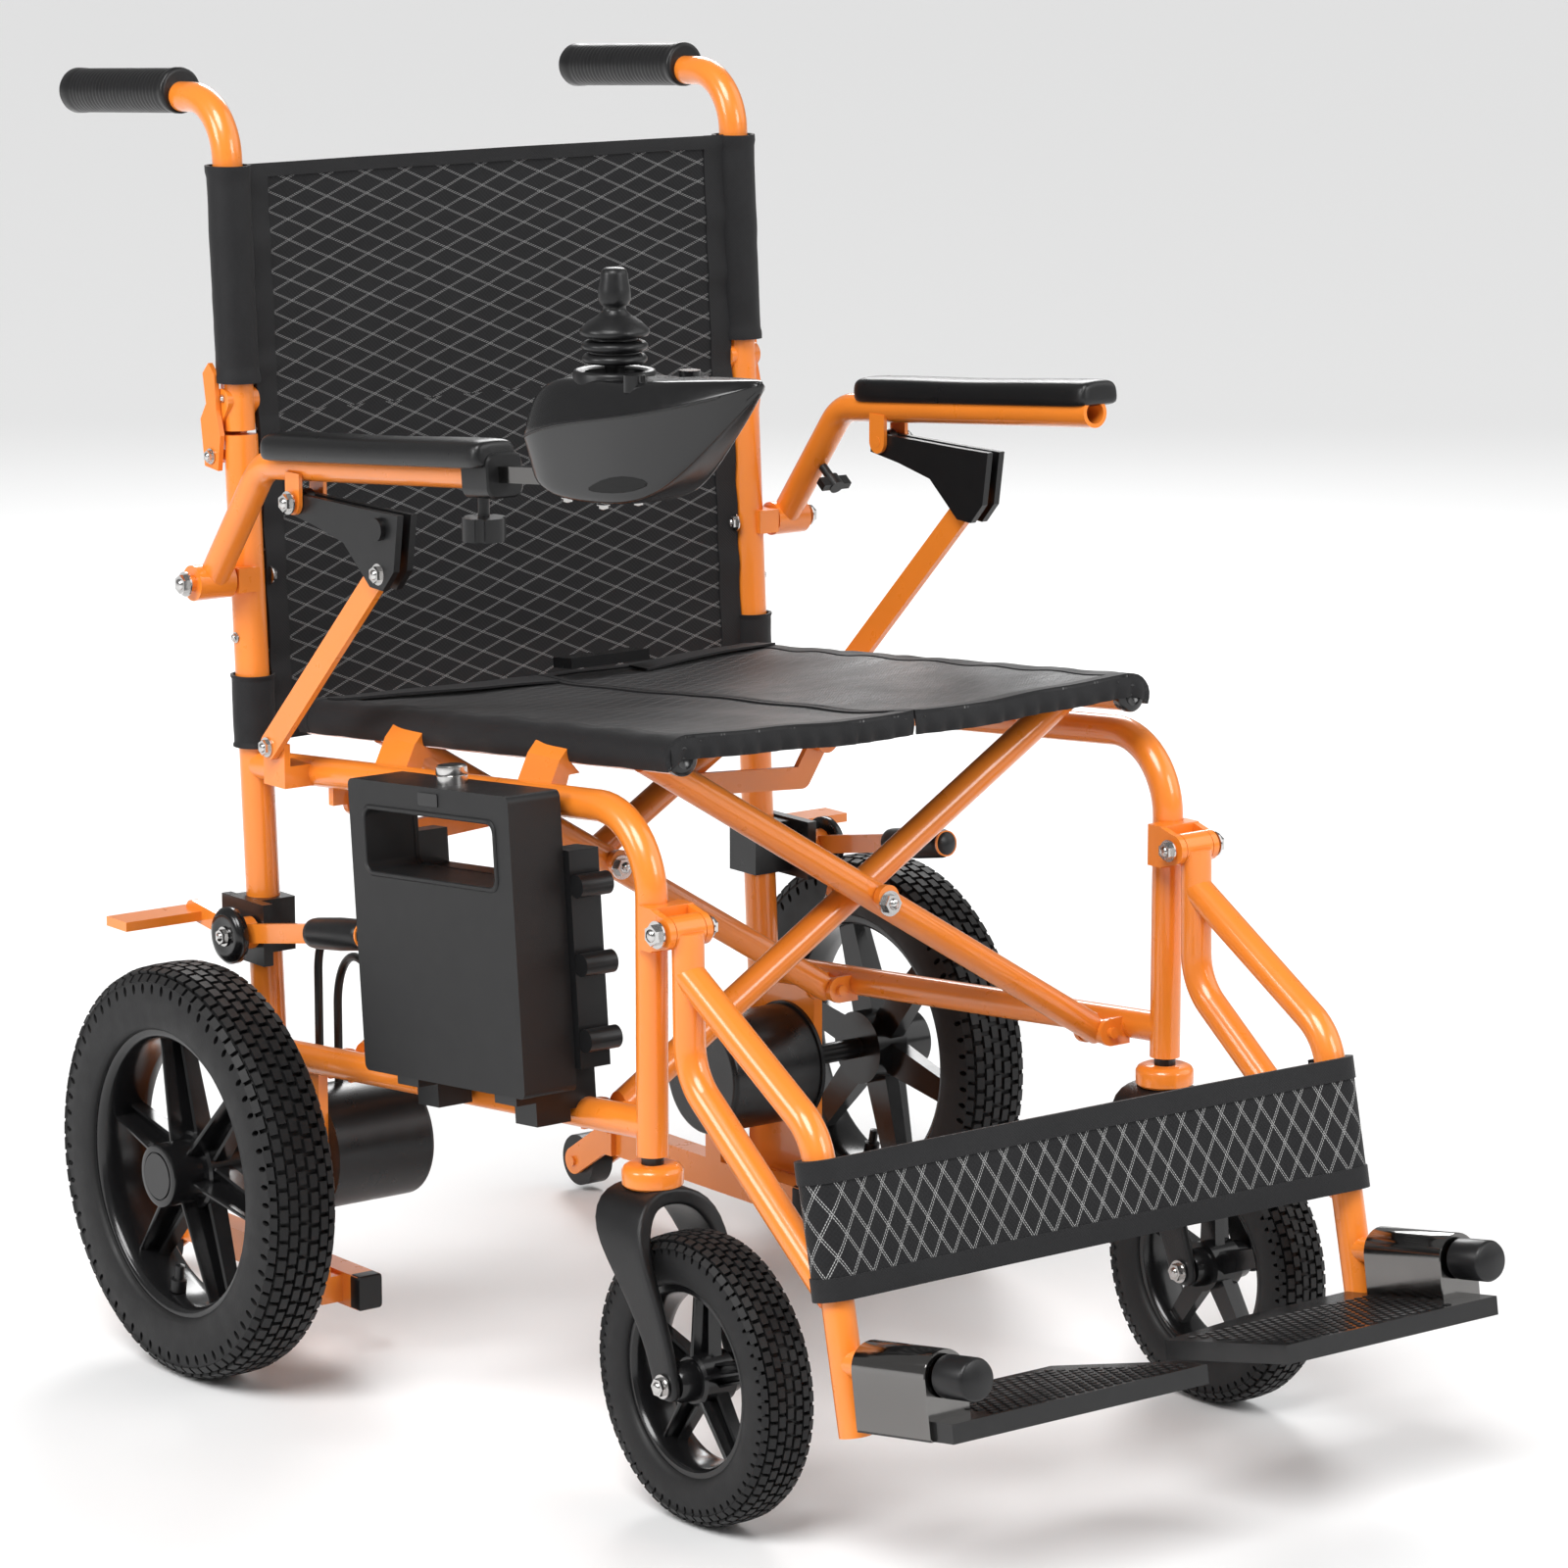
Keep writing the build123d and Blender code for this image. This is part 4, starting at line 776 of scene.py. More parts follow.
forkLook = {
    # across from the wheel's middle, forward lean, height, width along the wheel, wall
    "path": [(31.0, -246.0, 90.0, 17.0, 6.5), (31.0, -246.0, 93.5, 23.5, 6.8),
             (31.0, -245.0, 100.0, 26.5, 7.0),
             (31.0, -240.0, 116.0, 28.0, 7.0), (31.2, -231.0, 135.0, 32.0, 7.2),
             (32.0, -219.0, 156.0, 39.0, 8.0),
             (33.0, -206.0, 176.0, 47.0, 9.0), (32.0, -196.0, 192.0, 53.0, 11.0),
             (27.0, -190.5, 205.0, 54.0, 13.0),
             (19.0, -188.0, 213.5, 50.0, 13.0), (9.0, -187.5, 216.5, 44.0, 12.0),
             (0.0, -187.5, 217.0, 42.0, 12.0)],
    "stem": [(0.0, 0.0), (0.0, 7.8), (55.0, 7.8), (56.0, 0.0)],
    "collar": [(0.0, 0.0), (0.0, 19.5), (1.5, 21.0), (11.0, 21.2), (13.8, 19.5), (15.0, 16.5), (15.0, 0.0)],
}


def makeFork(side, k):
    body = "fork_" + side
    path = forkLook["path"]
    whole = [(-a, y, z, w, t) for a, y, z, w, t in path] + [(a, y, z, w, t) for a, y, z, w,
                                                            t in reversed(path[:-1])]
    spots = [at(k * chair["frameX"] + a, y, z) for a, y, z, w, t in whole]
    rings = []
    for i, (a, y, z, w, t) in enumerate(whole):
        run = (spots[min(i + 1, len(spots) - 1)] - spots[max(i - 1, 0)])
        run = Vector((run.x, 0, run.z)).normalized()
        wall = Vector((0, 1, 0)).cross(run).normalized()
        section = roundedOutline(w / 1000, t / 1000, min(0.0034, t / 2100), 4)
        rings.append([spots[i] + Vector((0, 1, 0)) * u + wall * v for u, v in section])
    obj = meshPiece("casterFork_" + side, *loft(rings), body, "powderCoat", angle=50)
    settle(obj, ("SUBSURF", {"levels": 1, "render_levels": 1}))
    obj.data.set_sharp_from_angle(angle=math.radians(60))
    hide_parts("caster_fork_" + side)
    foot = at(k * chair["frameX"], -187.5, 221)
    for name, profile, lift, finish in (("casterStem_", forkLook["stem"], 6, "blackPaint"),
                                        ("casterCollar_", forkLook["collar"], 0, "framePaint")):
        v, f = lathe(foot + Vector((0, 0, lift / 1000)), (0, 0, 1),
                     [(a / 1000, r / 1000) for a, r in profile], 40)
        meshPiece(name + side, v, f, body, finish)
    hub = at(k * chair["frameX"], -246.0, 100)
    v, f = lathe(hub - Vector((0.037, 0, 0)), (1, 0, 0), [(0, 0), (0, 0.0066), (0.074, 0.0066), (0.074, 0)],
                 28)
    meshPiece("casterAxle_" + side, v, f, body, "brightSteel")
    heads = [(hub + Vector((s * 0.0352, 0, 0)), Vector((s, 0, 0)), Vector((0, 1, 0)), 1.0) for s in (-1, 1)]
    placeParts("casterBolt_" + side, heads, boltTree, boltIds, {"Head": 0.0064}, body, "brightSteel")


for side, k in sides:
    makeFork(side, k)
print("forks built")


def clothShell(name, cols, rows, place, thick, flat, body, finish, wrap=False, angle=50.0):
    # place(u, v) is the middle of the cloth; both faces stand off it and the edges are closed
    wide = cols if wrap else cols + 1
    step, mids, normals, uvs = 1e-3, [], [], []
    for r in range(rows + 1):
        for c in range(wide):
            u, v = c / cols, r / rows
            du = place(u + step, v) - place(u - step, v)
            dv = place(u, min(1.0, v + step)) - place(u, max(0.0, v - step))
            mids.append(place(u, v))
            normals.append(du.cross(dv).normalized())
            uvs.append((u * flat[0], v * flat[1]))
    count = len(mids)
    verts = [m + n * thick / 2 for m, n in zip(mids, normals)] + [m - n * thick / 2 for m,
                                                                  n in zip(mids, normals)]
    faces = []
    for r in range(rows):
        for c in range(cols):
            d = (c + 1) % wide
            quad = (r * wide + c, r * wide + d, (r + 1) * wide + d, (r + 1) * wide + c)
            faces += [quad, tuple(count + i for i in reversed(quad))]
    if wrap:
        edges = [[base + c for c in range(wide)] for base in (0, rows * wide)]
    else:
        edges = [list(range(wide)) + [r * wide + cols for r in range(1, rows + 1)]
                 + [rows * wide + c for c in reversed(range(cols))] + [r * wide for r in reversed(range(1,
                         rows))]]
    for edge in edges:
        faces += [(i, j, count + j, count + i) for i, j in zip(edge, edge[1:] + edge[:1])]
    return meshPiece(name, verts, faces, body, finish, uvs=uvs + uvs, angle=angle)


def part(place, u0, u1, v0, v1):
    return lambda u, v: place(lerp(u0, u1, u), lerp(v0, v1, v))


def stitchRow(name, place, points, lift, body):
    # a line of stitches just proud of the cloth, following its run
    spots = []
    for i in range(len(points) - 1):
        a, b = points[i], points[i + 1]
        spot = place(*a)
        run = (place(*b) - spot).normalized()
        du = place(a[0] + 1e-3, a[1]) - place(a[0] - 1e-3, a[1])
        dv = place(a[0], a[1] + 1e-3) - place(a[0], a[1] - 1e-3)
        spots.append((spot + du.cross(dv).normalized() * lift, du.cross(dv).normalized(), run, 1.0))
    return placeParts(name, spots, stitchTree, stitchIds, {}, body, "thread")


backLook = {"halfWidth": 216.0, "bow": 9.0, "thick": 0.0032, "edge": 18.0, "sleeveR": 14.6,
            "upper": (690.6, 873.0), "lower": (452.0, 691.6), "creaseEvery": 46.0}


def backPlace(zLow, zHigh, slack):
    def place(u, v):
        z = lerp(zLow, zHigh, v)
        x = lerp(-backLook["halfWidth"], backLook["halfWidth"], u)
        across = 1 - (2 * u - 1) ** 2
        edge = math.exp(-9 * u) + math.exp(-9 * (1 - u))
        soft = noise.noise(Vector((x / 70, z / 46, 1.0))) * 1.6 * across
        pull = math.sin(z / backLook["creaseEvery"] * 2 * math.pi + 3 * noise.noise(Vector((u * 3, v * 5,
                2.0)))) * 0.9 * edge
        return at(x, postY(z) - 2.5 + backLook["bow"] * across * slack + soft + pull, z)
    return place


def backPanel(name, node, zLow, zHigh, slack, body, hem):
    place = backPlace(zLow, zHigh, slack)
    width, height = 2 * backLook["halfWidth"] / 1000, (zHigh - zLow) / 1000
    sheet = clothShell(name, 96, 48, place, backLook["thick"], (width, height), body, "meshCloth")
    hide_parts(node)
    eu, ev = backLook["edge"] / 1000 / width, backLook["edge"] / 1000 / height
    ends = (0, 1, 1 - ev * 0.55, 1) if hem == "Top" else (0, 1, 0, ev * 0.55)
    bands = ((hem, ends, (96, 4)), ("Right", (0, eu, 0, 1), (5, 48)), ("Left", (1 - eu, 1, 0, 1), (5, 48)))
    made = [sheet]
    for label, span, grid in bands:
        strip = part(place, *span)
        flat = (width * (span[1] - span[0]), height * (span[3] - span[2]))
        made.append(clothShell(name + "Edge" + label, *grid, strip, backLook["thick"] + 0.0022, flat, body,
                               "edgeCloth"))
    lines = []
    for u in (eu * 0.85, 1 - eu * 0.85):
        lines.append([(u, v / 70) for v in range(71)])
    seams = [stitchRow(name + "Seam" + str(i), place, line, -0.0029, body) for i, line in enumerate(lines)]
    for obj in made + seams:
        at(-backLook["halfWidth"], postY(zLow), zLow)
        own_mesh(obj)
    return sheet


def sleeve(name, k, zLow, zHigh, body):
    radius = backLook["sleeveR"]

    def place(u, v):
        z = lerp(zLow, zHigh, v)
        a = 2 * math.pi * u
        hem = 0.9 if (v < 0.05 or v > 0.95) else 0.0
        ripple = noise.noise(Vector((math.cos(a), math.sin(a), z / 16))) * 0.55
        r = radius + hem + ripple
        return at(k * chair["frameX"] + r * math.cos(a), postY(z) + r * math.sin(a), z)
    flat = (2 * math.pi * radius / 1000, (zHigh - zLow) / 1000)
    obj = clothShell(name, 40, 36, place, 0.0022, flat, body, "edgeCloth", wrap=True)
    return obj


backPanel("backClothUpper", "back_panel_upper", *backLook["upper"], 1.0, "back_right", "Top")
backPanel("backClothLower", "back_panel_lower", *backLook["lower"], 0.99, "frame_right", "Foot")
for side, k in sides:
    sleeve("backSleeveUpper_" + side, k, 716.0, 873.0, "back_" + side)
    sleeve("backSleeveLower_" + side, k, 449.0, 502.0, "frame_" + side)
print("back cloth built")

seatBox = [(a + b) / 2 * 1000 for a, b in zip(*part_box("seat_right"))]
seatLook = {"railX": 198.0, "front": -183.0, "rear": 273.0, "sag": 8.0, "roll": 13.6,
            "wrap": math.radians(118.0),
            "zero": seatBox[2] - 14.6 + (seatBox[1] - chair["datumY"]) * math.tan(chair["rake"]),
            "thick": 0.0030, "hem": 14.0, "edge": 13.0, "foldKeep": 0.16}


def seatPlace(k):
    look = seatLook
    run = look["railX"] - 0.8
    total = run + look["roll"] * look["wrap"]

    def place(u, v):
        s = u * total
        y = lerp(look["front"], look["rear"], v)
        if s < run:
            x = 0.8 + s
            t = x / look["railX"]
            edge = math.exp(-((v - 0.0) * 14) ** 2) + math.exp(-((v - 1.0) * 14) ** 2)
            crease = math.sin(y / 12 + 5 * noise.noise(Vector((x / 120, y / 200,
                                                               1.0)))) * 0.75 * smooth01((x - 120) / 80)
            soft = noise.noise(Vector((x / 60, y / 75, 4.0))) * 2.2 * (1 - t * t) + crease * (1 - 0.5 * edge)
            h = look["roll"] - look["sag"] * (1 - t * t) * (1 - 0.35 * edge) + soft
        else:
            a = math.pi / 2 - (s - run) / look["roll"]
            r = look["roll"] + 0.35 * math.sin(y / 9 + 2 * noise.noise(Vector((y / 40, s / 10, 3.0))))
            x = look["railX"] + r * math.cos(a)
            h = r * math.sin(a)
        return at(k * x, y, railZ(look["zero"], y)) + railUp * h / 1000
    return place, total


for side, k in sides:
    body = railBrace[side]
    place, total = seatPlace(k)
    flat = (total / 1000, (seatLook["rear"] - seatLook["front"]) / 1000)
    cloth = clothShell("seatCloth_" + side, 60, 110, place, seatLook["thick"], flat, body, "seatCloth")
    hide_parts("seat_" + side)
    hemV = seatLook["edge"] / (flat[1] * 1000)
    band = clothShell("seatBand_" + side, 60, 4, part(place, 0, 1, 0, hemV), 0.0052, (flat[0], 0.013), body,
                      "edgeCloth")
    back = clothShell("seatRearBand_" + side, 60, 4, part(place, 0, 1, 1 - hemV, 1), 0.0052, (flat[0], 0.013),
                      body, "edgeCloth")
    roll = clothShell("seatRoll_" + side, 16, 110, part(place, 0.83, 1, 0, 1), 0.0046,
                      (flat[0] * 0.17, flat[1]), body, "edgeCloth")

    def hemPlace(u, v, k=k, place=place):
        # gathered front hem that hangs off the cloth's front edge
        top = place(u * 0.93, 0.004)
        fold = math.sin(u * 78 + 2.2 * noise.noise(Vector((u * 9, k,
                                                           0.5)))) * 1.5 * v + 1.2 * math.sin(v * math.pi)
        return top + railDir * (0.5 + fold) / 1000 - railUp * (seatLook["hem"] * v) / 1000
    hem = clothShell("seatHem_" + side, 150, 8, hemPlace, 0.0026, (flat[0], seatLook["hem"] / 1000), body,
                     "edgeCloth")
    welt = clothShell("seatWelt_" + side, 3, 110, part(place, 0.0, 0.022, 0, 1), 0.0058, (0.006, flat[1]),
                      body, "edgeCloth")
    seams = [stitchRow("seatSeam" + str(i) + "_" + side, place, [(u, n / 150) for n in range(151)],
                       -k * 0.0022, body)
             for i, u in enumerate((0.035, 0.815))]
    for obj in [cloth, band, back, roll, hem, welt] + seams:
        at(k * seatLook["railX"], 0, seatLook["zero"])
        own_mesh(obj)
print("seat cloth built")

strapLook = {"top": 276.0, "foot": 186.0, "half": 225.0, "stand": 13.8, "wrap": math.radians(205.0),
             "edge": 15.0,
             "knee": (-362.0, 292.0), "ankle": (-405.0, 98.0), "foldTo": (-225, -380, 230)}


def strapPlace(u, v):
    look = strapLook
    arc = look["stand"] * look["wrap"]
    s = (u - 0.5) * 2 * (look["half"] + arc)
    sign = 1 if s > 0 else -1
    z = lerp(look["foot"], look["top"], v)
    slope = (look["ankle"][0] - look["knee"][0]) / (look["knee"][1] - look["ankle"][1])
    y = look["knee"][0] + (look["knee"][1] - z) * slope
    ahead = Vector((0, -0.9763, 0.2164))
    over = abs(s) - look["half"]
    if over <= 0:
        bow = 5.0 * (1 - (s / look["half"]) ** 2) + noise.noise(Vector((s / 60, v * 2.0, 6.0))) * 1.1
        return at(s, y, z) + ahead * (look["stand"] - bow) / 1000
    a = over / look["stand"]
    return at(sign * (look["half"] + look["stand"] * math.sin(a)), y,
              z) + ahead * look["stand"] * math.cos(a) / 1000


strapFlat = (2 * (strapLook["half"] + strapLook["stand"] * strapLook["wrap"]) / 1000,
             (strapLook["top"] - strapLook["foot"]) / 1000)
strap = clothShell("calfBand", 150, 14, strapPlace, 0.0034, strapFlat, "leg_right", "strapCloth")
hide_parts("calf_strap")
share = strapLook["edge"] / 1000 / strapFlat[1]
strapParts = [
    clothShell("calfBandTop", 150, 4, part(strapPlace, 0, 1, 1 - share, 1), 0.0056, (strapFlat[0], 0.015),
               "leg_right", "edgeCloth"),
    clothShell("calfBandFoot", 150, 4, part(strapPlace, 0, 1, 0, share), 0.0056, (strapFlat[0], 0.015),
               "leg_right", "edgeCloth")]
for i, v in enumerate((share * 0.8, 1 - share * 0.8)):
    strapParts.append(stitchRow("calfBandSeam" + str(i), strapPlace,
                                [(0.02 + 0.96 * n / 150, v) for n in range(151)], -0.0031, "leg_right"))
for obj in [strap] + strapParts:
    at(*strapLook["foldTo"])
    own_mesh(obj)
print("calf band built")

beltLook = {"width": 24.0, "reach": 196.0, "y": 245.0}
for side, k in sides:
    body = railBrace[side]
    inner = 6.0 if side == "right" else 74.0
    seatAt, total = seatPlace(k)

    def beltPlace(u, v, k=k, inner=inner, seatAt=seatAt, total=total):
        x = lerp(inner, beltLook["reach"], u)
        y = beltLook["y"] - beltLook["width"] / 2 + beltLook["width"] * v
        spot = seatAt(x / total, (y - seatLook["front"]) / (seatLook["rear"] - seatLook["front"]))
        return spot + railUp * (0.0034 + 0.0025 * math.sin(u * math.pi))
    flat = ((beltLook["reach"] - inner) / 1000, beltLook["width"] / 1000)
    belt = clothShell("lapBelt_" + side, 50, 6, beltPlace, 0.0016, flat, body, "edgeCloth")
    at(k * seatLook["railX"], 0, seatLook["zero"])
    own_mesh(belt)
print("lap belt built")


def padOutline(width, height, crown):
    half, points = width / 2, []
    for u, v in ((-1.0, -0.5), (-0.6, -0.5), (0.0, -0.5), (0.6, -0.5), (1.0, -0.5), (1.02, -0.15),
                 (1.0, 0.12), (0.93, 0.32),
                 (0.80, 0.44), (0.5, 0.49), (0.0, 0.5), (-0.5, 0.49), (-0.80, 0.44), (-0.93, 0.32),
                 (-1.0, 0.12), (-1.02, -0.15)):
        points.append((u * half, v * height + (crown * (1 - u * u) if v > 0 else 0.0)))
    return points


padLook = {"from": -66.0, "to": 208.0, "wide": 36.0, "tall": 19.0, "crown": 1.0,
           "ends": ((0.0, 0.80, 0.70), (1.6, 0.90, 0.84), (4.5, 0.97, 0.95), (10.0, 1.0, 1.0))}
for side, k in sides:
    low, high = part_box("armrest_pad_" + side)
    middle = (low + high) / 2
    half = (padLook["to"] - padLook["from"]) / 2
    stations = [(-half + d, w, h) for d, w, h in padLook["ends"]]
    stations += [(-half + 10 + (2 * half - 20) * i / 14, 1.0, 1.0) for i in range(1, 14)]
    stations += [(half - d, w, h) for d, w, h in reversed(padLook["ends"])]
    rings = []
    for s, w, h in stations:
        dip = 0.9 * math.exp(-(s / 60) ** 2)
        ring = padOutline(padLook["wide"] * w, padLook["tall"] * h, padLook["crown"])
        rings.append([Vector((middle.x, middle.y, middle.z)) - railDir * s / 1000 + Vector((u / 1000, 0, 0))
                      + railUp * (v - (dip if v > 0 else 0)) / 1000 for u, v in ring])
    pad = meshPiece("armPad_" + side, *loft(rings), "arm_" + side, "padSkin", angle=70)
    settle(pad, ("SUBSURF", {"levels": 1, "render_levels": 1}))
    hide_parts("armrest_pad_" + side)
print("arm pads built")


gripLook = {"length": 150.6, "radius": 17.0, "ribs": 26, "tilt": math.radians(3.3)}
for side, k in sides:
    low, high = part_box("push_grip_" + side)
    middle = (low + high) / 2
    axis = Vector((0, math.cos(gripLook["tilt"]), -math.sin(gripLook["tilt"])))
    half, r = gripLook["length"] / 2000, gripLook["radius"] / 1000
    profile = [(-half, 0.0), (-half, 0.0136), (-half, r - 0.0012), (-half + 0.0012, r), (-half + 0.006, r),
               (-half + 0.007, r - 0.0010)]
    start, end = -half + 0.010, half - 0.016
    for i in range(gripLook["ribs"]):
        s = lerp(start, end, (i + 0.5) / gripLook["ribs"])
        pitch = (end - start) / gripLook["ribs"]
        profile += [(s - pitch * 0.45, r - 0.0009), (s - pitch * 0.2, r - 0.0005),
                    (s + pitch * 0.2, r - 0.0005),
                    (s + pitch * 0.45, r - 0.0009)]
    profile += [(half - 0.014, r - 0.0002), (half - 0.004, r), (half - 0.0012, r - 0.0014),
                (half, r - 0.0042),
                (half, 0.0)]
    grip = meshPiece("handGrip_" + side, *lathe(middle, axis, profile, 48), "back_" + side, "gripRubber",
                     angle=50)
    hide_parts("push_grip_" + side)
print("grips built")

shellLook = {
    # distance behind the stick, top, crease and bottom heights, half widths at each
    "stations": ((66, 746, 731, 708, 20, 26, 18), (63, 755, 732, 701, 24, 30, 22),
                 (45, 770, 738, 695, 27, 35, 25),
                 (20, 776, 745, 693, 27, 36, 25), (-20, 777, 752, 695, 27, 36, 25),
                 (-50, 779, 757, 699, 26, 34.5, 23),
                 (-80, 782, 763, 713, 23, 31, 18), (-110, 785, 770, 738, 18, 24, 12),
                 (-135, 787, 777, 760, 12, 16, 8),
                 (-150, 788, 782, 774, 6, 9, 4), (-157, 788, 785, 781, 2, 3, 1.5)),
    "leaf": ((-72, 716), (-58, 720), (-30, 717), (-8, 708), (2, 703), (-18, 703), (-45, 706), (-62, 711)),
}
controlLow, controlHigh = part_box("controller_shell")
stickLow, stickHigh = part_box("joystick")
controlX = (controlLow.x + controlHigh.x) / 2
stickY = (stickLow.y + stickHigh.y) / 2


def shellRing(station):
    back, zTop, zCrease, zLow, wTop, wMid, wLow = station
    half = [(0, zTop + 0.6), (wTop * 0.5, zTop + 0.4), (wTop * 0.86, zTop), (wTop * 1.02, zTop - 1.6),
            (lerp(wTop, wMid, 0.8), lerp(zTop, zCrease, 0.75)), (wMid, zCrease + 0.8),
            (wMid - 0.4, zCrease - 1.6),
            (lerp(wMid, wLow, 0.42), lerp(zCrease, zLow, 0.35)),
            (lerp(wMid, wLow, 0.8), lerp(zCrease, zLow, 0.7)),
            (wLow, zLow + 3.0), (wLow * 0.86, zLow + 0.5), (wLow * 0.5, zLow), (0, zLow)]
    ring = half + [(-x, z) for x, z in reversed(half[1:-1])]
    return [Vector((controlX + x / 1000, stickY + back / 1000, z / 1000)) for x, z in ring]


shell = meshPiece("controlShell", *loft([shellRing(s) for s in shellLook["stations"]]), "arm_right",
                  "mouldedGloss", angle=60)
settle(shell, ("SUBSURF", {"levels": 2, "render_levels": 2}))
for polygon in shell.data.polygons:
    polygon.use_smooth = True
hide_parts("controller_shell")


def shellSide(back, z):  # how far out the shell's side is at this place
    rows = shellLook["stations"]
    for a, b in zip(rows, rows[1:]):
        if a[0] >= back >= b[0]:
            t = (a[0] - back) / (a[0] - b[0])
            crease, low = lerp(a[2], b[2], t), lerp(a[3], b[3], t)
            wide, narrow = lerp(a[5], b[5], t), lerp(a[6], b[6], t)
            return lerp(narrow, wide, max(0.0, min(1.0, (z - low) / (crease - low))))
    return 0.0


# on each side a near-black leaf stands 0.6 mm proud of the shell: painted shade in place of the recess there,
# not real depth
for k in (-1, 1):
    outline = shellLook["leaf"]
    outer = [Vector((controlX + k * (shellSide(b, z) + 0.6) / 1000, stickY + b / 1000, z / 1000)) for b,
             z in outline]
    inner = [Vector((controlX + k * (shellSide(b, z) - 4) / 1000, stickY + b / 1000, z / 1000)) for b,
             z in outline]
    leaf = meshPiece("shellRecessShade_" + ("left" if k > 0 else "right"), *loft([inner, outer]), "arm_right",
                     "darkHole")
    settle(leaf, ("SUBSURF", {"levels": 1, "render_levels": 1}))
feet = [(Vector((controlX + k * 0.014, stickY + b / 1000, 0.694)), Vector((0, 0, -1)), Vector((1, 0, 0)), 1.0)
        for k in (-1, 1) for b in (-6, 34)]
placeParts("shellScrews", feet, boltTree, boltIds, {"Head": 0.0034}, "arm_right", "brightSteel")
seam = []
for back, zTop, zCrease, zLow, wTop, wMid, wLow in shellLook["stations"][1:-2]:
    seam.append((back, zCrease, wMid))
for k in (-1, 1):
    ridge = [[Vector((controlX + k * (w + d) / 1000, stickY + b / 1000, (z + h) / 1000))
              for d, h in ((-1.2, -1.4), (0.2, -0.9), (0.5, 0.0), (0.2, 0.9), (-1.2, 1.4))] for b, z,
             w in seam]
    line = meshPiece("shellLip_" + ("left" if k > 0 else "right"), *loft(ridge), "arm_right", "mouldedBlack",
                     angle=60)
    settle(line, ("SUBSURF", {"levels": 1, "render_levels": 1}))

stickFoot = Vector((controlX, stickY, 0.0))
bootProfile = [(0.772, 0.0190), (0.772, 0.0275), (0.7785, 0.0273), (0.7802, 0.0264), (0.7808, 0.0244),
               (0.7802, 0.0215), (0.7790, 0.0195), (0.772, 0.0190)]
meshPiece("stickBoot", *openRing(stickFoot, 0, bootProfile, 48), "arm_right", "gripRubber", angle=50)
topZ = stickHigh.z
stickProfile = [(0.757, 0.0), (0.757, 0.0068), (0.775, 0.0062), (0.7838, 0.0070), (0.7850, 0.0195),
                (0.7866, 0.0212),
                (0.7886, 0.0212), (0.7904, 0.0196), (0.7914, 0.0165), (0.7922, 0.0165), (0.7934, 0.0200),
                (0.7952, 0.0218),
                (0.7972, 0.0216), (0.7988, 0.0198), (0.8000, 0.0150), (0.8012, 0.0148), (0.8026, 0.0215),
                (0.8042, 0.0228),
                (0.8062, 0.0228), (0.8084, 0.0210), (0.8120, 0.0172), (0.8152, 0.0118), (0.8190, 0.0076),
                (0.8216, 0.0074),
                (0.8232, 0.0096), (0.8262, 0.0107), (0.8330, 0.0104), (0.8390, 0.0091),
                (topZ - 0.0042, 0.0088),
                (topZ - 0.0018, 0.0080), (topZ - 0.0006, 0.0060), (topZ, 0.0)]
stick = meshPiece("stickHandle", *lathe(stickFoot, (0, 0, 1), stickProfile, 48), "stick", "gripRubber",
                  angle=60)
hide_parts("joystick")
print("controller built")

packLow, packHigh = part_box("battery_pack")
packLook = {"window": (158.0, 44.0), "up": 61.5}  # hand window: length and height, and how far up it sits
packMid = (packLow + packHigh) / 2


def packAt(x, along, up):  # along is towards the rear, in the battery's own tilt
    return Vector((x, packMid.y, packMid.z)) - railDir * along / 1000 + railUp * up / 1000


def windowRing(x, grow):
    w, h = packLook["window"]
    return [packAt(x, u * 1000, packLook["up"] + v * 1000)
            for u, v in roundedOutline((w + grow) / 1000, (h + grow) / 1000, 0.0068 + grow / 3000, 5)]


for x, out in ((packLow.x, -1), (packHigh.x, 1)):
    rings = [windowRing(x - out * 0.0028, -0.8), windowRing(x + out * 0.0004, -0.8),
             windowRing(x + out * 0.0011, 0.6),
             windowRing(x + out * 0.0011, 4.6), windowRing(x + out * 0.0003, 6.4),
             windowRing(x - out * 0.0028, 6.4),
             windowRing(x - out * 0.0028, -0.8)]
    meshPiece("windowRim_" + ("outer" if out < 0 else "inner"), *loft(rings, capped=False), "battery",
              "caseCharcoal", angle=40)
plate = [packAt(packLow.x - 0.0007, u * 1000 - 2, 95.0 + v * 1000) for u,
         v in roundedOutline(0.024, 0.009, 0.0012, 3)]
base = [packAt(packLow.x + 0.002, u * 1000 - 2, 95.0 + v * 1000) for u,
        v in roundedOutline(0.024, 0.009, 0.0012, 3)]
meshPiece("packCatch", *loft([base, plate]), "battery", "mouldedGloss")
knobLow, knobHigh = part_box("battery_knob")
knobSpot = (knobLow + knobHigh) / 2
knob = meshPiece("packKnob", *lathe(knobSpot, railUp, [
    (-0.0075, 0.0), (-0.0075, 0.0108), (-0.0015, 0.0110), (-0.0010, 0.0105), (0.0, 0.0110), (0.0046, 0.0108),
    (0.0058, 0.0098), (0.0062, 0.0080), (0.0062, 0.0)], 40), "battery_knob", "brightSteel", angle=35)
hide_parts("battery_knob")
print("battery built")


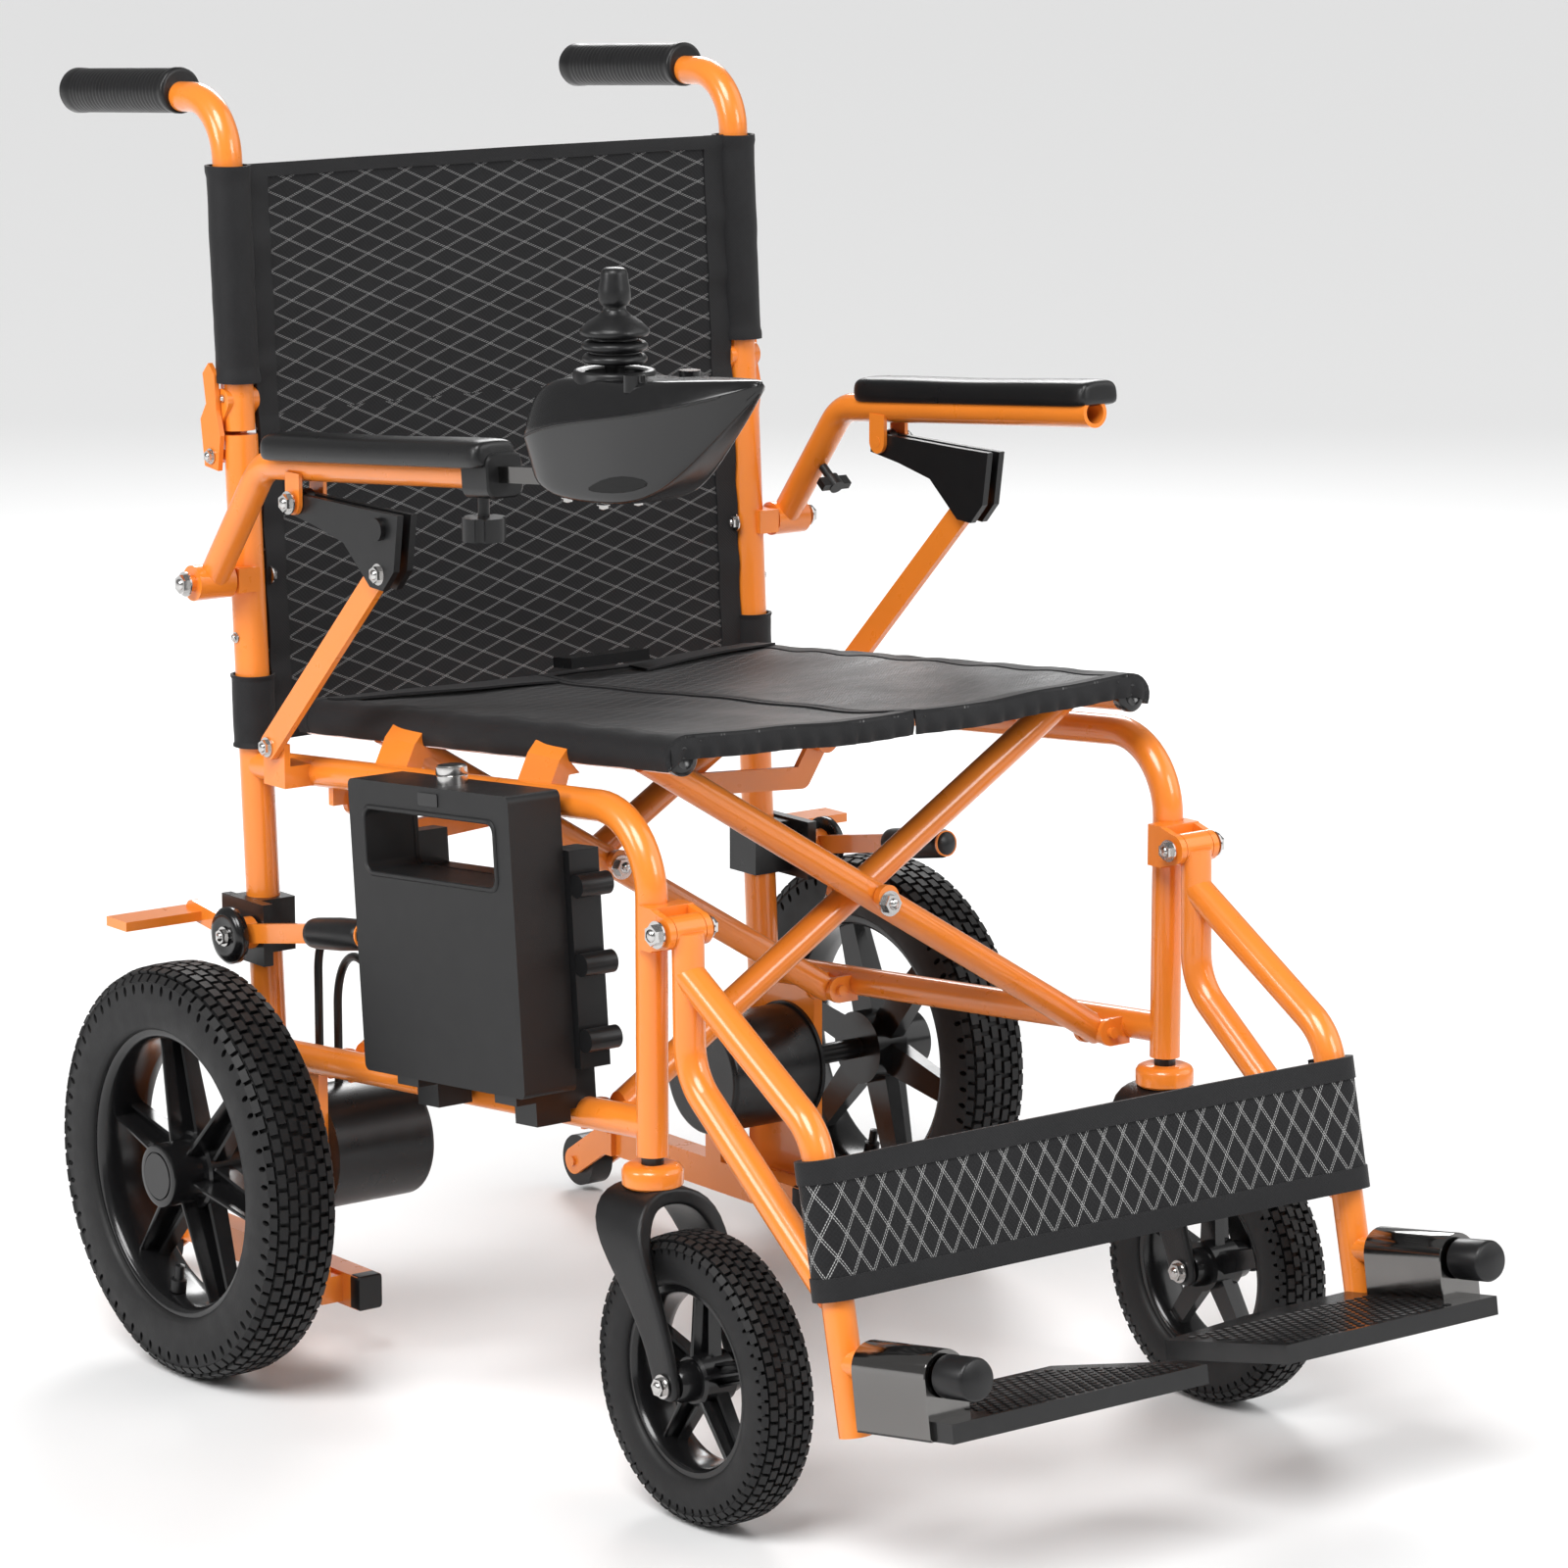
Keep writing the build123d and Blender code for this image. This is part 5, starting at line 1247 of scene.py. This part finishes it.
treadLook = {"sleeveR": 17.5, "drop": 40.4, "sleeveLong": 76.8, "sleeveFrom": 29.6, "capR": 14.3,
             "tilt": math.radians(9.0),
             "dotPitch": 8.0}
shaftDir = Vector((0, -math.cos(treadLook["tilt"]), math.sin(treadLook["tilt"])))
shaftDown = Vector((0, -math.sin(treadLook["tilt"]), -math.cos(treadLook["tilt"])))
for side, k in sides:
    body = "foot_" + side
    front = at(k * 225.0, -527.0, 166.0)
    r, drop = treadLook["sleeveR"], treadLook["drop"]
    section = [(r * math.cos(a), r * math.sin(a)) for a in (math.pi * i / 16 for i in range(17))]
    section += [(-r, -drop + 2.0), (-r + 2.0, -drop), (r - 2.0, -drop), (r, -drop + 2.0)]
    rings = []
    for s, shrink in ((0.0, 0.9), (0.8, 1.0), (treadLook["sleeveLong"] - 0.8, 1.0),
                      (treadLook["sleeveLong"], 0.9)):
        rings.append([front - shaftDir * (treadLook["sleeveFrom"] + s) / 1000 + Vector((u * (0.97
                if shrink < 1 else 1), 0, 0)) / 1000
                      - shaftDown * v * (0.985 if shrink < 1 else 1) / 1000 for u, v in section])
    meshPiece("treadSleeve_" + side, *loft(rings), body, "darkChrome", angle=30)
    cap = [(-0.0028, 0.0), (-0.0028, 0.0120), (-0.0020, 0.0134), (-0.0002, treadLook["capR"] / 1000),
           (0.0262, treadLook["capR"] / 1000), (0.0275, 0.0128), (0.0275, 0.0)]
    meshPiece("shaftCap_" + side, *lathe(front, -shaftDir, cap, 40), "leg_" + side, "gripRubber", angle=35)
    low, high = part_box("footplate_" + side)
    inner = 201.0
    dots = []
    depth = 88.0 if side == "right" else 90.0
    across = int((inner - 30) / treadLook["dotPitch"])
    along = int(depth / treadLook["dotPitch"])
    top = front - shaftDir * 0.010 + shaftDown * 0.027
    for i in range(across):
        for j in range(along):
            px, py = 26.0 + i * treadLook["dotPitch"] + (4.0 if j % 2
                                                         else 0.0), 7.0 + j * treadLook["dotPitch"]
            limit = 192.0 if side == "left" else 192.0 - max(0.0, (py - 20) * 0.72)
            start = 0.0 if side == "right" else 22.0 - py * 0.22
            if px < limit - start:
                spot = top + Vector((-k * px, 0, 0)) / 1000 - shaftDir * py / 1000
                dots.append((spot, -shaftDown, Vector((1, 0, 0)), 1.0))
    placeParts("treadStuds_" + side, dots, blockTree, blockIds,
               {"Length": 0.0042, "Width": 0.0042, "Height": 0.0012}, body, "tyreRubber")
print("footplates built")

clampMid = at(-262.0, -52.0, 688.8 + 52.0 * math.tan(chair["rake"]))
section = [(u, v) for u, v in roundedOutline(0.030, 0.031, 0.0075, 5)]
rings = [[clampMid + railDir * s + Vector((u * w, 0, 0)) + railUp * (v * w - 0.001) for u, v in section]
         for s, w in ((-0.016, 0.90), (-0.0148, 0.99), (0.0148, 0.99), (0.016, 0.90))]
meshPiece("barClamp", *loft(rings), "arm_right", "mouldedBlack", angle=35)

for side, k in sides:
    spot = at(k * seatLook["railX"], -178.0, railZ(seatLook["zero"], -178.0))
    profile = [(-0.014, 0.0), (-0.014, 0.0105), (-0.001, 0.0112), (0.0, 0.0118), (0.0035, 0.0118),
               (0.0052, 0.0102),
               (0.0058, 0.0070), (0.0046, 0.0056), (0.0040, 0.0)]
    meshPiece("railPlug_" + side, *lathe(spot, railDir, profile, 32), railBrace[side], "mouldedGloss")

brakeLook = {"x": 264.0, "z": 318.0, "ahead": 26.0, "grip": ((-97.0, 17.5), (-167.5, 28.4)), "gripR": 10.8,
             "coverR": 21.0}
for side, k in sides:
    y = postY(brakeLook["z"]) - brakeLook["ahead"]
    (y0, z0), (y1, z1) = brakeLook["grip"]
    start, end = at(k * brakeLook["x"], y + y0, brakeLook["z"] + z0), at(k * brakeLook["x"], y + y1,
                                                                         brakeLook["z"] + z1)
    long, r = (end - start).length, brakeLook["gripR"] / 1000
    profile = [(-0.0005, 0.0), (-0.0005, r - 0.0012), (0.0008, r), (0.006, r + 0.0006),
               (long * 0.5, r + 0.0012),
               (long - 0.008, r + 0.0004), (long - 0.003, r - 0.0012), (long - 0.0008, r - 0.0045),
               (long, 0.0)]
    meshPiece("brakeGrip_" + side, *lathe(start, end - start, profile, 36), "brake_" + side, "gripRubber",
              angle=60)
    r = brakeLook["coverR"] / 1000
    profile = [(0.0, 0.0), (0.0, r - 0.001), (0.001, r), (0.006, r), (0.0085, r - 0.0022),
               (0.0095, r - 0.006),
               (0.0088, r - 0.009), (0.0088, 0.0)]
    meshPiece("brakeCover_" + side, *lathe(at(k * 271.2, y, brakeLook["z"]), (k, 0, 0), profile, 40),
              "brake_" + side,
              "mouldedGloss", angle=50)

barPlugLook = {"x": 205.0, "y": 202.0, "z": 52.0, "wide": 0.0212, "tall": 0.0262}
for side, k in sides:
    # black plug in the front end of the low bar
    spot = at(k * barPlugLook["x"], barPlugLook["y"], barPlugLook["z"])
    rings = [[spot + Vector((u * w, -d, v * w)) for u,
              v in roundedOutline(barPlugLook["wide"], barPlugLook["tall"], 0.0026, 4)]
             for d, w in ((-0.008, 1.0), (0.0015, 1.0), (0.0028, 0.93))]
    meshPiece("barPlug_" + side, *loft(rings), "frame_" + side, "mouldedBlack", angle=35)

boltJobs = {}


def bolt(body, spot, facing, size=1.0, along=(0, 0, 1)):
    boltJobs.setdefault(body, []).append((spot, Vector(facing), Vector(along), size))


for side, k in sides:
    rootSide = "frame_" + side
    bolt(rootSide, at(k * 284.2, 309.0, 574.0), (k, 0, 0), 1.25)
    bolt(rootSide, at(k * 213.6, 309.0, 574.0), (-k, 0, 0), 1.0)
    bolt(rootSide, at(k * 265.8, 232.0, 463.0), (k, 0, 0), 1.0)
    bolt("arm_" + side, at(k * 277.6, 179.0, 648.0), (k, 0, 0), 1.15)
    bolt("latch_" + side, at(k * 270.2, 76.0, 609.0), (k, 0, 0), 1.05)
    bolt(rootSide, at(k * 245.8, -217.0, 401.5), (k, 0, 0), 1.3)
    bolt(rootSide, at(k * 204.2, -217.0, 401.5), (-k, 0, 0), 1.1)
    bolt(rootSide, at(k * 247.4, postY(662.0) + 13.0, 662.0), (k, 0, 0), 0.8)
    bolt("tip_wheel_" + side, at(k * 215.4, 500.0, 25.0), (k, 0, 0), 0.9)
    bolt("brake_" + side, at(k * 280.2, postY(318.0) - 26.0, 318.0), (k, 0, 0), 1.0)
    bolt("back_" + side, at(k * 241.6, postY(705.0), 705.0), (k, 0, 0), 0.55)
    bolt(rootSide, at(k * 241.6, postY(530.0), 530.0), (k, 0, 0), 0.55)
crossLook = {"zero": 366.0, "pairs": (-125.0, 195.0), "reach": 0.0302}  # centre bolts of the two brace pairs
for y in crossLook["pairs"]:
    spot = at(0, y, railZ(crossLook["zero"], y))
    for facing in (railDir, -railDir):
        bolt("brace_a", spot + facing * crossLook["reach"], facing, 1.25, (1, 0, 0))
for body, points in boltJobs.items():
    placeParts("bolts_" + body, points, boltTree, boltIds, {"Head": 0.0056}, body, "brightSteel", angle=32)
print("bolts set")

floorMaterial = newMaterial("paleFloor", {"Base Color": (0.86, 0.86, 0.86, 1), "Roughness": 0.55})[0]
floorMesh = bpy.data.meshes.new("floor")
floorMesh.from_pydata([(-30, -30, -0.0005), (30, -30, -0.0005), (30, 30, -0.0005), (-30, 30, -0.0005)], [],
                      [(0, 1, 2, 3)])
floorMesh.materials.append(floorMaterial)
floor = bpy.data.objects.new("floor", floorMesh)
scene.collection.objects.link(floor)

stageLook = {"seen": 1.0, "fill": 0.25,
             "suns": {"keySun": ((-0.55, -0.35, 0.9), 2.5, 30.0), "sideSun": ((0.9, -0.5, 0.7), 0.7, 50.0)},
             "lamps": {"leftPanel": ((-3.2, 0.6, 2.0), 1.2, 45.0),
                       "frontPanel": ((0.9, -3.6, 2.3), 1.4, 50.0),
                       "rimPanel": ((2.4, 3.0, 2.6), 1.6, 70.0)}}
world = bpy.data.worlds.new("studio")
world.use_nodes = True
sky = Wire(world.node_tree)
backdrop = world.node_tree.nodes["Background"]
backdrop.inputs["Color"].default_value = (1, 1, 1, 1)
seen = sky.add("ShaderNodeLightPath").outputs["Is Camera Ray"]
level = sky.math("MULTIPLY_ADD", seen, stageLook["seen"] - stageLook["fill"], stageLook["fill"])
sky.link(level, backdrop.inputs["Strength"])
scene.world = world


def addLight(name, kind, spot, power):
    lamp = bpy.data.lights.new(name, kind)
    lamp.energy = power
    holder = bpy.data.objects.new(name, lamp)
    holder.location = spot
    holder.rotation_euler = (Vector((0, 0, 0.42)) - Vector(spot)).to_track_quat("-Z", "Y").to_euler()
    scene.collection.objects.link(holder)
    return lamp


for name, (spot, power, spread) in stageLook["suns"].items():
    addLight(name, "SUN", Vector(spot) * 5, power).angle = math.radians(spread)
for name, (spot, size, power) in stageLook["lamps"].items():
    addLight(name, "AREA", spot, power).size = size

cameraLook = {"place": (-2.4254, -3.2153, 1.2300), "target": (0.0, -0.0414, 0.4457), "lens": 131.1}
cameraData = bpy.data.cameras.new("camera")
cameraData.lens = cameraLook["lens"]
cameraData.sensor_width = 36.0
camera = bpy.data.objects.new("camera", cameraData)
camera.location = cameraLook["place"]
camera.rotation_euler = (Vector(cameraLook["target"]) - Vector(cameraLook["place"])).to_track_quat("-Z",
        "Y").to_euler()
scene.collection.objects.link(camera)
scene.camera = camera
scene.view_settings.view_transform = "Standard"
print("stage set")
